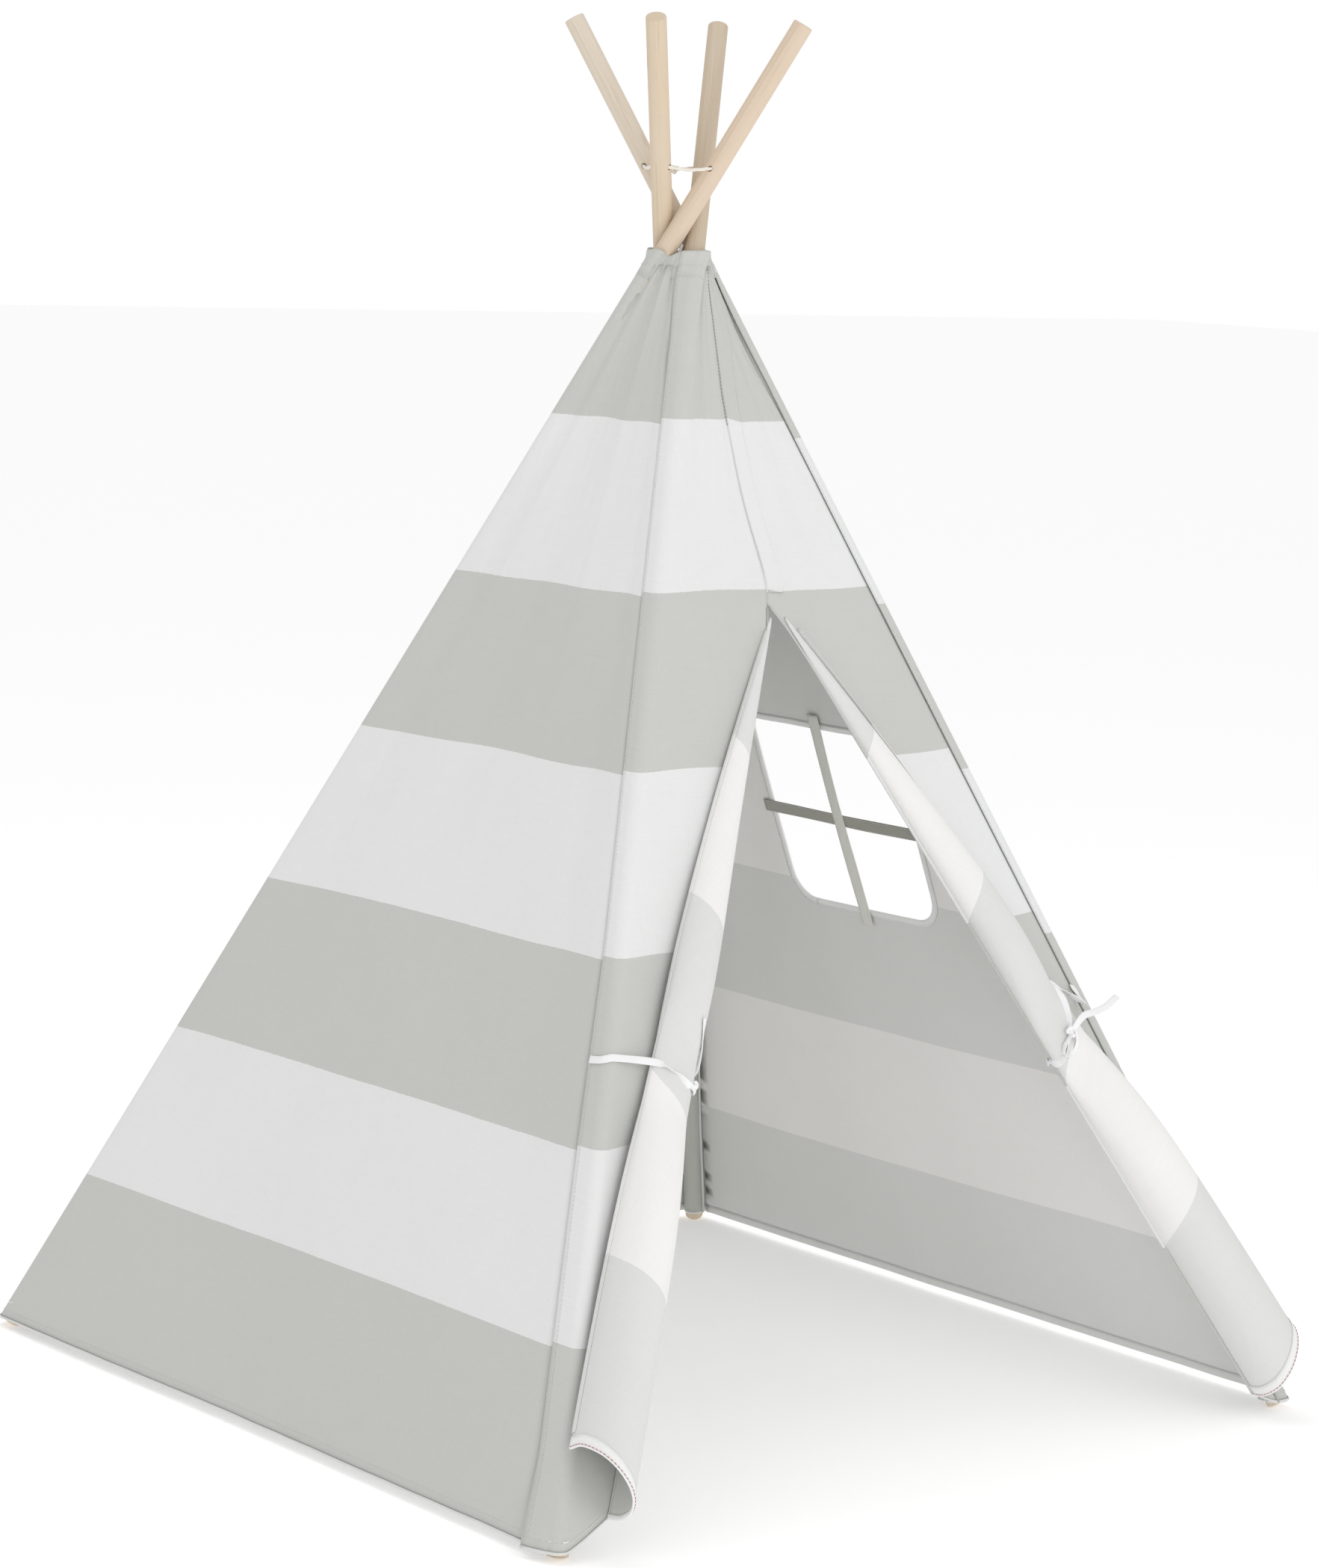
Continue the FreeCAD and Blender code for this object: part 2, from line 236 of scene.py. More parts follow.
def face_point(face, s, z):
    """Points on the outside of a cover face, in the front position. From -1 to 0, s runs over the
    lap and round the face's left pole, and from 0 to 1 it crosses the face to the next seam."""
    s, z = np.broadcast_arrays(np.asarray(s, float), np.asarray(z, float))
    left, right, across, level = section(z)
    last_across, last_level = back_turn(across), back_turn(level)
    corner = FACES.index(face)
    early = lead(corner, z) * (1 - np.clip((s + 1) / LAP, 0, 1))
    before = left + wrap(last_level) - last_across * early[..., None]
    quarter = np.clip((s + TURN) / TURN, 0, 1) * (np.pi / 2)
    facing = last_level * np.cos(quarter)[..., None] + level * np.sin(quarter)[..., None]
    around = left + wrap(facing)
    first = left + wrap(level)
    last = right + wrap(level, True) - across * (lead(corner + 1, z) + seam_gap(z))[..., None]
    t = np.clip(s, 0, 1)
    width = np.linalg.norm(last - first, axis=-1)
    depth = np.where(s > 0, sag(face, t, z), 0) + tuck(z) * np.exp(-(1 - t) * width / 0.004)
    crossing = first + (last - first) * t[..., None] - level * depth[..., None]
    xy = np.where((s < -TURN)[..., None], before, np.where((s < 0)[..., None], around, crossing))
    lip = 0.0006 * np.exp(-(s + 1) / 0.05)[..., None] * last_level
    if corner == 0:
        flare = HEM_FLARE * smooth(0.11, 0.0, z) * smooth(-0.72, -1.0, s)
        lip = lip + flare[..., None] * last_level
    return np.concatenate([xy + np.where((s < -0.5)[..., None], lip, 0), z[..., None]], -1)


def tuck(z):
    """How far a face's end lies behind the start of the next one."""
    return 0.0016 + 0.0045 * bump(z, 1.225, 0.05)


def face_ends(face, z):
    """Level places where the flat part of a face starts and ends, and its level directions."""
    left, right, across, level = section(z)
    far = lead(FACES.index(face) + 1, z) + seam_gap(z)
    return left + wrap(level), right + wrap(level, True) - across * far[..., None], across, level


def face_width(face, z):
    """Width of the flat part of a face, from the line where it leaves its pole to the seam."""
    first, last, _, _ = face_ends(face, z)
    return np.linalg.norm(last - first, axis=-1)


def face_share(face, across_face, z):
    """The s of a place given by its distance across the face from the tent's centre line."""
    first, last, _, _ = face_ends(face, z)
    first, last = first @ face_across[:2], last @ face_across[:2]
    return (across_face - first) / (last - first)


# ---- meshes -------------------------------------------------------------------------------------
def make_object(name, vertices, faces, uv=None, smooth_shade=True):
    """A mesh object. uv gives a place on the cloth for each vertex, in metres."""
    if name in frame["nodes"]:
        name += "_soft"
    mesh = bpy.data.meshes.new(name)
    mesh.from_pydata(np.asarray(vertices, float).tolist(), [], faces)
    if uv is not None:
        layer = mesh.uv_layers.new(name="cloth")
        index = np.zeros(len(mesh.loops), int)
        mesh.loops.foreach_get("vertex_index", index)
        layer.data.foreach_set("uv", np.asarray(uv, float)[index].ravel())
    mesh.polygons.foreach_set("use_smooth", [smooth_shade] * len(mesh.polygons))
    mesh.update()
    obj = bpy.data.objects.new(name, mesh)
    bpy.context.scene.collection.objects.link(obj)
    return obj


def grid_faces(rows, columns, closed=False, start=0):
    """Quads of a grid of vertices that is laid out row by row. closed joins each row's ends."""
    faces = []
    for i in range(rows - 1):
        for j in range(columns if closed else columns - 1):
            a, b, k = start + i * columns, start + (i + 1) * columns, (j + 1) % columns
            faces.append((a + j, a + k, b + k, b + j))
    return faces


def grid(name, points, uv, closed=False, flip=False):
    """A sheet through a grid of points, with its front on the outside."""
    faces = grid_faces(*points.shape[:2], closed)
    if flip:
        faces = [f[::-1] for f in faces]
    return make_object(name, points.reshape(-1, 3), faces, np.asarray(uv).reshape(-1, 2))


def thicken(obj, thickness, offset=-1.0, material_offset=0):
    """Gives a sheet its thickness, behind its front by default."""
    solid = obj.modifiers.new("thickness", "SOLIDIFY")
    solid.thickness = thickness
    solid.offset = offset
    solid.use_even_offset = False
    solid.material_offset = material_offset
    solid.material_offset_rim = 0
    return obj


def tube_rings(line, radius, sides, twist=0.0, lobes=0, lobe_depth=0.0):
    """Rings of points round a line. With lobes it is a rope of that many strands."""
    forward = unit(np.gradient(line, axis=0))
    normal = np.cross(forward[0], UP if abs(forward[0][2]) < 0.9 else np.array([1.0, 0, 0]))
    angle = np.linspace(0, math.tau, sides, endpoint=False)
    rings = []
    for p, f, a in zip(line, forward, distances(line)):
        normal = unit(normal - f * (normal @ f))
        reach = radius * (1 - lobe_depth * (0.5 - 0.5 * np.cos(lobes * (angle + twist * a))))
        rings.append(p + reach[:, None] * (np.cos(angle)[:, None] * normal
                                           + np.sin(angle)[:, None] * np.cross(f, normal)))
    return np.array(rings)


def tube(name, line, radius, sides=16, **rope):
    """A tube along a line, closed at both ends."""
    count = len(line)
    rings = tube_rings(line, radius, sides, **rope)
    vertices = np.vstack([rings.reshape(-1, 3), line[0][None], line[-1][None]])
    faces = [f[::-1] for f in grid_faces(count, sides, True)]
    for j in range(sides):
        k = (j + 1) % sides
        faces.append((count * sides, j, k))
        faces.append((count * sides + 1, (count - 1) * sides + k, (count - 1) * sides + j))
    return make_object(name, vertices, faces)


def stitches(name, line, normals, length=0.0032, gap=0.0016, radius=0.00035):
    """A row of stitches along a line on the cloth, each a small thread that dips in at its ends."""
    normals = unit(np.asarray(normals, float))
    along = distances(line)
    count = max(1, int(along[-1] / (length + gap)))
    vertices, faces = [], []
    sides, rings = 5, 5
    angle = np.linspace(0, math.tau, sides, endpoint=False)
    for i in range(count):
        places = i * (along[-1] / count) + np.linspace(0, length, rings)
        p = np.stack([np.interp(places, along, line[:, k]) for k in range(3)], -1)
        n = unit(np.stack([np.interp(places, along, normals[:, k]) for k in range(3)], -1))
        side = unit(np.cross(n, unit(p[-1] - p[0])))
        lift = np.array([-0.6, 0.35, 0.75, 0.35, -0.6])[:, None] * radius
        fat = np.array([0.45, 0.9, 1.0, 0.9, 0.45]) * radius
        ring = (p + n * lift)[:, None] + fat[:, None, None] * (
            np.cos(angle)[None, :, None] * side[:, None] + np.sin(angle)[None, :, None] * n[:, None])
        start = len(vertices)
        vertices.extend(ring.reshape(-1, 3).tolist())
        faces.extend(grid_faces(rings, sides, True, start))
        faces.append(tuple(start + j for j in range(sides)))
        faces.append(tuple(start + (rings - 1) * sides + j for j in reversed(range(sides))))
    return make_object(name, vertices, faces)


def binding(name, line, into, normals, front, back, gap=0.0010, thickness=TAPE):
    """Folded tape over the edge of a sheet: it covers front and back of the edge by those widths.
    line runs along the edge, into points from it over the cloth, normals point to the front."""
    into, normals = unit(into), unit(normals)
    profile = [(gap * 0.55, front), (gap * 0.62, front * 0.55), (gap * 0.72, 0.0004),
               (gap * 0.45, -0.0009), (0.0, -0.0013), (-gap * 0.45 - CLOTH, -0.0009),
               (-gap * 0.72 - CLOTH, 0.0004), (-gap * 0.62 - CLOTH, back * 0.55),
               (-gap * 0.55 - CLOTH, back)]
    rows = np.array([line + normals * out + into * up for out, up in profile])
    uv = np.stack(np.meshgrid(distances(line), distances(np.array(profile))), -1)
    return thicken(grid(name, rows, uv), thickness, offset=0)


# ---- how pieces ride ----------------------------------------------------------------------------
def attach(obj, finish, ride_on, slot, squash=None, stands_for=()):
    """Gives a piece its material, or its two, and the body it belongs to. The slot is not used. Given a squash,
    the piece only gets a mesh of its own. It may stand for solids of the CAD, which it then hides."""
    for material in finish if isinstance(finish, tuple) else (finish,):
        obj.data.materials.append(material)
    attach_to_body(obj, ride_on)
    if squash:
        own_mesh(obj)
    if stands_for:
        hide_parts(*stands_for)
    return obj


def sew(name, line, normals, thread, ride_on, slot, squash=None, **size):
    """A row of stitches that rides with the cloth it holds."""
    return attach(stitches(name, line, normals, **size), thread, ride_on, slot, squash)


def face_squash(face):
    """The squash of a face: the fold joint, the direction across the face, the centre and the share of its width
    kept.
    """
    turns = FACES.index(face)
    return "fold", tuple(turned(face_across, turns)), (0.0, 0.0, 0.0), FOLD_KEEP


# ---- materials ----------------------------------------------------------------------------------
def linear(r, g, b):
    """Scene colour of an sRGB colour given from 0 to 255."""
    return tuple((c / 255 / 12.92 if c / 255 <= 0.04045 else ((c / 255 + 0.055) / 1.055) ** 2.4)
                 for c in (r, g, b)) + (1.0,)


class Nodes:
    """A material's node tree, built by short calls."""

    def __init__(self, name):
        self.material = bpy.data.materials.new(name)
        self.material.use_nodes = True
        self.tree = self.material.node_tree
        self.tree.nodes.clear()
        self.output = self.tree.nodes.new("ShaderNodeOutputMaterial")
        self.shader = self.tree.nodes.new("ShaderNodeBsdfPrincipled")
        self.tree.links.new(self.shader.outputs[0], self.output.inputs[0])

    def put(self, kind, inputs=None, **settings):
        """A new node, with values or other nodes' outputs at its inputs."""
        node = self.tree.nodes.new("ShaderNode" + kind)
        for key, value in settings.items():
            setattr(node, key, value)
        for key, value in (inputs or {}).items():
            self.join(node, key, value)
        return node

    def join(self, node, key, value):
        if isinstance(value, bpy.types.NodeSocket):
            self.tree.links.new(value, node.inputs[key])
        else:
            node.inputs[key].default_value = value

    def math(self, operation, a, b=0.0, clamp=False):
        return self.put("Math", {0: a, 1: b}, operation=operation, use_clamp=clamp).outputs[0]

    def scaled(self, vector, scale, rotation=(0, 0, 0), location=(0, 0, 0)):
        return self.put("Mapping", {"Vector": vector, "Scale": scale, "Rotation": rotation,
                                    "Location": location}).outputs[0]

    def noise(self, vector, scale=1.0, detail=3.0, rough=0.55):
        return self.put("TexNoise", {"Vector": vector, "Scale": scale, "Detail": detail,
                                     "Roughness": rough}).outputs[0]

    def mix(self, share, a, b, blend="MIX"):
        """Colour a with that share of colour b."""
        node = self.put("Mix", data_type="RGBA", blend_type=blend)
        for key, value in (("Factor", share), (6, a), (7, b)):
            self.join(node, key, value)
        return node.outputs[2]

    def shaded(self, colour, shade):
        """A colour times a number."""
        grey = self.put("CombineXYZ", {0: shade, 1: shade, 2: shade}).outputs[0]
        return self.mix(1.0, colour, grey, "MULTIPLY")

    def finish(self, colour, rough, heights, sheen=0.0):
        """Colour, roughness and a bump from (height, strength, depth) layers."""
        self.join(self.shader, "Base Color", colour)
        self.join(self.shader, "Roughness", rough)
        self.shader.inputs["Sheen Weight"].default_value = sheen
        self.shader.inputs["Sheen Roughness"].default_value = 0.6
        self.shader.inputs["Specular IOR Level"].default_value = 0.25
        normal = None
        for height, strength, depth in heights:
            node = self.put("Bump", {"Height": height, "Strength": strength, "Distance": depth})
            if normal is not None:
                self.join(node, "Normal", normal)
            normal = node.outputs[0]
        if normal is not None:
            self.join(self.shader, "Normal", normal)
        return self.material


def weave(n, cloth, pitch):
    """Height of a plain weave with threads that far apart: over and under in both directions."""
    step = n.scaled(cloth, (math.pi / pitch, math.pi / pitch, 1))
    parts = n.put("SeparateXYZ", {0: step})
    x, y = parts.outputs[0], parts.outputs[1]
    warp = n.math("ABSOLUTE", n.math("SINE", x))
    weft = n.math("ABSOLUTE", n.math("SINE", y))
    over = n.math("MULTIPLY", n.math("COSINE", x), n.math("COSINE", y))
    over = n.math("MULTIPLY_ADD", over, 0.5)
    over.node.inputs[2].default_value = 0.5
    high = n.math("MULTIPLY", warp, over)
    low = n.math("MULTIPLY", weft, n.math("SUBTRACT", 1.0, over))
    return n.math("ADD", high, low)


def slubs(n, cloth):
    """Thicker yarns here and there, along and across the cloth."""
    along = n.noise(n.scaled(cloth, (22, 900, 1)), 1.0, 2.0)
    up = n.noise(n.scaled(cloth, (900, 22, 1)), 1.0, 2.0)
    return n.math("MULTIPLY", n.math("ADD", along, up), 0.5)


def cotton(name, colour, second=None, pitch=0.0011, tone=0.05, rough=0.86, uv=True):
    """Plain-weave cotton in one colour, or in stripes of two."""
    n = Nodes(name)
    if uv:
        cloth = n.put("UVMap", uv_map="cloth").outputs[0]
    else:
        cloth = n.put("TexCoord").outputs["Object"]
    yarn = slubs(n, cloth)
    base = colour
    if second is not None:
        height = n.put("SeparateXYZ", {0: cloth}).outputs[1]
        ragged = n.math("MULTIPLY", n.math("SUBTRACT", n.noise(cloth, 260, 2.0), 0.5), 0.0016)
        height = n.math("ADD", height, ragged)
        pair = n.math("FRACT", n.math("DIVIDE", n.math("SUBTRACT", STRIPE_TOP, height), 2 * STRIPE))
        base = n.mix(n.math("LESS_THAN", pair, 0.5), colour, second)
    patches = n.noise(cloth, 3.0, 4.0)
    shade = n.math("ADD", n.math("MULTIPLY", n.math("SUBTRACT", patches, 0.5), tone * 1.6),
                   n.math("MULTIPLY", n.math("SUBTRACT", yarn, 0.5), tone * 2.4))
    base = n.shaded(base, n.math("ADD", 1.0, shade))
    rough_out = n.math("ADD", rough - 0.05, n.math("MULTIPLY", yarn, 0.12))
    heights = [(yarn, 0.25, 0.0006), (weave(n, cloth, pitch), 0.35, 0.0003),
               (n.noise(cloth, 28, 3.0), 0.18, 0.0025)]
    return n.finish(base, rough_out, heights, sheen=0.15)


GREY = linear(201, 202, 197)
WHITE = linear(232, 233, 232)
GREY_BACK = linear(223, 223, 221)
WHITE_BACK = linear(241, 240, 238)

striped = cotton("striped_cotton", GREY, WHITE)
striped_back = cotton("striped_cotton_reverse", GREY_BACK, WHITE_BACK)
hem_cotton = cotton("hem_tape", linear(222, 222, 220), pitch=0.0007, tone=0.04)
white_cotton = cotton("white_binding", linear(243, 243, 242), pitch=0.0007, tone=0.04)
tape_cotton = cotton("white_tape", linear(246, 246, 247), pitch=0.0006, tone=0.04)
strap_light = cotton("strap_light", linear(226, 226, 219), tone=0.06)
strap_dark = cotton("strap_dark", linear(166, 166, 157), tone=0.06)
sleeve_cotton = cotton("sleeve_cotton", linear(188, 190, 183), tone=0.07)
thread_white = cotton("thread", linear(228, 229, 226), uv=False, pitch=0.0002, tone=0.02)
thread_grey = cotton("thread_grey", linear(138, 140, 135), uv=False, pitch=0.0002, tone=0.02)
thread_red = cotton("thread_red", linear(176, 108, 108), uv=False, pitch=0.0002, tone=0.02)


def rope_material(name, colour):
    """Twisted cotton cord: fine fibres along the strands."""
    n = Nodes(name)
    place = n.put("TexCoord").outputs["Object"]
    fibres = n.noise(n.scaled(place, (1500, 1500, 1500)), 1.0, 3.0)
    patch = n.noise(place, 90, 2.0)
    shade = n.math("ADD", 0.86, n.math("MULTIPLY", n.math("ADD", fibres, patch), 0.14))
    base = n.shaded(colour, shade)
    return n.finish(base, 0.88, [(fibres, 0.5, 0.0003)], sheen=0.1)


cord_cotton = rope_material("lashing_cotton", linear(236, 230, 220))


def wood(name, up, centre, dark, pale, seed):
    """Sanded softwood dowel: growth rings through the solid, fine pores, and a few small knots."""
    n = Nodes(name)
    turn = Vector(up).rotation_difference(Vector((0, 0, 1)))
    shift = -(turn.to_matrix() @ Vector(centre)) + Vector((0.031 + 0.004 * seed, 0.024, 0.3 * seed))
    place = n.scaled(n.put("TexCoord").outputs["Object"], (1, 1, 1), tuple(turn.to_euler()),
                     tuple(shift))
    drift = n.noise(n.scaled(place, (14, 14, 1.6)), 1.0, 2.0)
    parts = n.put("SeparateXYZ", {0: place})
    x = n.math("ADD", parts.outputs[0], n.math("MULTIPLY", drift, 0.010))
    y = n.math("ADD", parts.outputs[1], n.math("MULTIPLY", drift, -0.007))
    radius = n.math("SQRT", n.math("ADD", n.math("MULTIPLY", x, x), n.math("MULTIPLY", y, y)))
    rings = n.math("FRACT", n.math("MULTIPLY", radius, 520.0))
    rings = n.math("POWER", rings, 2.2)
    grain = n.noise(n.scaled(place, (900, 900, 14)), 1.0, 3.0)
    tone = n.noise(n.scaled(place, (30, 30, 5)), 1.0, 3.0)
    share = n.math("ADD", n.math("MULTIPLY", rings, 0.34), n.math("MULTIPLY", grain, 0.34))
    share = n.math("ADD", share, n.math("MULTIPLY", n.math("SUBTRACT", tone, 0.5), 0.75), clamp=True)
    base = n.mix(share, pale, dark)
    cells = n.put("TexVoronoi", {"Vector": n.scaled(place, (16, 16, 6.5)), "Scale": 1.0,
                                 "Randomness": 1.0}, feature="F1")
    far = n.math("ADD", cells.outputs["Distance"], n.math("MULTIPLY", grain, 0.05))
    knot = n.put("MapRange", {"Value": far, "From Min": 0.05, "From Max": 0.15,
                              "To Min": 1.0, "To Max": 0.0}).outputs[0]
    base = n.mix(n.math("MULTIPLY", knot, 0.55), base, linear(146, 112, 74))
    streak = n.noise(n.scaled(place, (260, 260, 9)), 1.0, 2.0)
    flecks = n.put("MapRange", {"Value": streak, "From Min": 0.66, "From Max": 0.8,
                                "To Min": 0.0, "To Max": 0.35}).outputs[0]
    base = n.mix(flecks, base, linear(172, 142, 104))
    rough = n.math("ADD", 0.52, n.math("MULTIPLY", grain, 0.2))
    return n.finish(base, rough, [(grain, 0.25, 0.0004), (rings, 0.08, 0.0004)])


# Dark and pale tones of each pole's wood. The front left pole's darker tones are partly its own wood and partly
# painted shade, for the shade that falls on that pole.
WOOD_TONES_AND_PAINTED_SHADE = {"front_left": (linear(180, 158, 130), linear(212, 198, 178)),
              "front_right": (linear(204, 184, 159), linear(224, 213, 198)),
              "back_right": (linear(204, 182, 152), linear(222, 206, 184)),
              "back_left": (linear(206, 182, 154), linear(226, 208, 188))}

def dress(node, material):
    """A CAD solid's material, in place of the frame's own."""
    frame["nodes"][node].data.materials.clear()
    frame["nodes"][node].data.materials.append(material)


for turns, corner in enumerate(CORNERS):
    top = MOUNTS["pole_top_" + corner]
    material = wood("wood_" + corner, top["axis"], top["pos_m"], *WOOD_TONES_AND_PAINTED_SHADE[corner], turns)
    for part in ("lower", "upper"):
        dress("pole_%s_%s" % (corner, part), material)


def steel():
    """Rolled steel tube with fine marks round it."""
    n = Nodes("ferrule_steel")
    place = n.put("TexCoord").outputs["Object"]
    marks = n.noise(n.scaled(place, (60, 60, 2600)), 1.0, 3.0)
    stain = n.noise(place, 55, 3.0)
    n.shader.inputs["Metallic"].default_value = 1.0
    base = n.mix(stain, linear(176, 176, 172), linear(204, 204, 200))
    rough = n.math("ADD", 0.3, n.math("MULTIPLY", marks, 0.2))
    return n.finish(base, rough, [(marks, 0.15, 0.0002)])


ferrule_steel = steel()
for corner in CORNERS:
    dress("ferrule_" + corner, ferrule_steel)


# ---- plain faces of the cover -------------------------------------------------------------------
PRINT = (striped, striped_back)         # printed cloth: the print outside, its paler reverse inside
ARC_STEPS = np.concatenate([np.linspace(-1, -TURN, 4)[:-1], np.linspace(-TURN, 0, 11)])[:-1]


def cloth_uv(face, s, z):
    """Place on the cloth: distance across from the middle, and height for the stripes."""
    wave = 0.0016 * ripple(np.clip(s, 0, 1) * 1.1, z, 50 + FACES.index(face), 0.5)
    width = face_width(face, z)
    across = np.where(s > 0, (s - 0.5) * width, s * WRAP_LENGTH - 0.5 * width)
    return np.stack([across, z - FACE_DROP[face] + wave], -1)


def heights(low, high, step=0.012):
    return np.linspace(low, high, int(round((high - low) / step)) + 1)


def over_face(count):
    """Values of s over a whole face, with that many on its flat part."""
    return np.concatenate([ARC_STEPS, np.linspace(0, 1, count)])


def face_sheet(face):
    s, z = np.meshgrid(over_face(61), heights(COVER_LOW, cover_top))
    return grid("cover_" + face, turned(face_point(face, s, z), FACES.index(face)),
                cloth_uv(face, s, z))


WINDOW_RIM = 0.007            # outer edge of the window's binding to the edge of the cloth
FACE_RISE = 0.93              # height gained by going that share of a length up a face
WINDOW_CORNERS = 0.034, 0.012  # radii of the lower and the upper corners


def window_outline(margin=0.0, spacing=0.006):
    """The window's outline on the right face, as (across, height) points, grown by a margin."""
    low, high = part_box("window_binding")
    u0, u1 = low.y + WINDOW_RIM - margin, high.y - WINDOW_RIM + margin
    z0 = low.z + WINDOW_RIM * FACE_RISE - margin * FACE_RISE
    z1 = high.z - WINDOW_RIM * FACE_RISE + margin * FACE_RISE
    a, b = (radius + margin for radius in WINDOW_CORNERS)
    points = []
    for u, z, r, start in ((u1 - a, z0 + a, a, -90), (u1 - b, z1 - b, b, 0),
                           (u0 + b, z1 - b, b, 90), (u0 + a, z0 + a, a, 180)):
        for i in range(9):
            angle = math.radians(start + 90 * i / 8)
            points.append((u + r * math.cos(angle), z + r * math.sin(angle)))
    points = np.array(points + points[:1])
    return resampled(points, int(distances(points)[-1] / spacing) + 1)[:-1]


def windowed_face():
    """The right face, a sheet with the window cut out of it. It is meshed on a flat plan, which
    gives the distance across from the face's middle line, and the height."""
    hole, ring = window_outline(), window_outline(0.010, 0.008)
    s, z = (a.ravel() for a in np.meshgrid(over_face(61), heights(COVER_LOW, cover_top)))

    def start_and_width(z):
        width = face_width("right", z)
        return -face_share("right", 0.0, z) * width, width

    start, width = start_and_width(z)
    plan = np.stack([start + s * np.where(s >= 0, width, WRAP_LENGTH), z], -1)
    near = ((plan > ring.min(0) - 0.003) & (plan < ring.max(0) + 0.003)).all(1)
    plan = plan[~near]
    first = len(plan)
    edges = [(first + i, first + (i + 1) % len(hole)) for i in range(len(hole))]
    plan, _, triangles, _, _, _ = delaunay_2d_cdt(
        [Vector(p) for p in np.vstack([plan, hole, ring])], edges, [], 0, 1e-7)
    plan = np.array([tuple(p) for p in plan])

    def cross(a, b, c):
        return (b[..., 0] - a[..., 0]) * (c[1] - a[..., 1]) - (b[..., 1] - a[..., 1]) * (c[0] - a[..., 0])

    faces = []
    for triangle in triangles:
        corners = plan[list(triangle)]
        in_hole = (cross(hole, np.roll(hole, -1, 0), corners.mean(0)) > 1e-12).all()
        area = cross(*corners)
        if not in_hole and abs(area) > 1e-9:
            faces.append(tuple(triangle) if area > 0 else tuple(reversed(triangle)))
    # back from the plan to the place on the face
    z = plan[:, 1]
    start, width = start_and_width(z)
    s = plan[:, 0] - start
    s = np.clip(s / np.where(s >= 0, width, WRAP_LENGTH), -1, 1)
    return make_object("cover_right", turned(face_point("right", s, z), 1), faces,
                       cloth_uv("right", s, z))


cover = {}
for face in ("left", "back", "right"):
    cover[face] = windowed_face() if face == "right" else face_sheet(face)
    thicken(cover[face], CLOTH, material_offset=1)
    attach(cover[face], PRINT, face + "_cover", "striped_cotton", face_squash(face), ["cover_" + face])


def outward(points_fn, s, z):
    """Outward and upward directions of a surface that is given by a function of s and z."""
    step = 1e-3
    across = points_fn(s + step, z) - points_fn(s - step, z)
    up = points_fn(s, z + step) - points_fn(s, z - step)
    return unit(np.cross(across, up)), unit(up)


def bottom_hem(face, name, s, low, points_fn):
    """Pale tape along the lower edge of a face, and the stitches that hold it, outside and in."""
    turns, ride = FACES.index(face), (face + "_cover", "white_binding", face_squash(face))
    normal, up = outward(points_fn, np.clip(s, -0.999, 0.999), low)
    line, normal, up = (turned(a, turns) for a in (points_fn(s, low), normal, up))
    hem = binding(name, line, up, normal, front=0.0016, back=0.012)
    row = line + up * 0.0105
    return [attach(hem, hem_cotton, *ride, [name]),
            sew(name + "_stitches", row + normal * 0.0003, normal, thread_white, *ride),
            sew(name + "_stitches_inside", row - normal * (CLOTH + 0.0009), -normal, thread_white, *ride)]


hem_s = over_face(121)
for face in ("right", "back", "left"):
    bottom_hem(face, "hem_" + face, hem_s, np.full_like(hem_s, COVER_LOW),
                            partial(face_point, face))


# ---- front face: two panels that meet at a pleat above the doorway ------------------------------
FOLD_LOW = {"left": 0.038, "right": 0.027}      # height of the lower end of each doorway fold
PLEAT_WIDTH = 0.025
APEX_SHIFT = -0.012           # how far the doorway's top is drawn across from its middle line


def fold_point(side, z):
    """Points on the fold of the doorway, which is the hinge line of that side's flap."""
    axis = np.array(JOINTS["flap_%s_close" % side]["axis"])
    z = np.asarray(z, float)
    straight = door_apex + axis * ((z - door_apex[2]) / axis[2])[..., None]
    shift = APEX_SHIFT * np.exp(-np.abs(z - door_apex[2]) / 0.030)
    return straight + face_across * shift[..., None]


def pleat_share(z):
    """The s of the pleat in the middle of the front face. It runs to the right near the collar."""
    shift = np.interp(z, [1.16, 1.19, 1.22, 1.27, 1.31, 1.34],
                      [0, 0.001, 0.0045, 0.010, 0.0145, 0.013])
    return np.clip(face_share("front", shift, z), 0.03, 0.7)


def inner_edge(side, z):
    """Where a front panel ends: at the pleat, and below the apex of the doorway at its fold."""
    first, last, _, level = face_ends("front", z)
    low, high, _, out = face_ends("front", door_apex[2])
    middle = low + (high - low) * pleat_share(door_apex[2])
    lift = (door_apex[:2] - middle) @ out
    aside = (fold_point("left", door_apex[2])[:2] - middle) @ face_across[:2]
    fade = np.exp(-np.clip(z - door_apex[2], 0, 1) / 0.06)[..., None]
    xy = first + (last - first) * pleat_share(z)[..., None]
    xy = xy + level * lift * fade + face_across[:2] * aside * fade ** 3
    above = np.concatenate([xy, z[..., None]], -1)
    return np.where((z < door_apex[2])[..., None], fold_point(side, z), above)


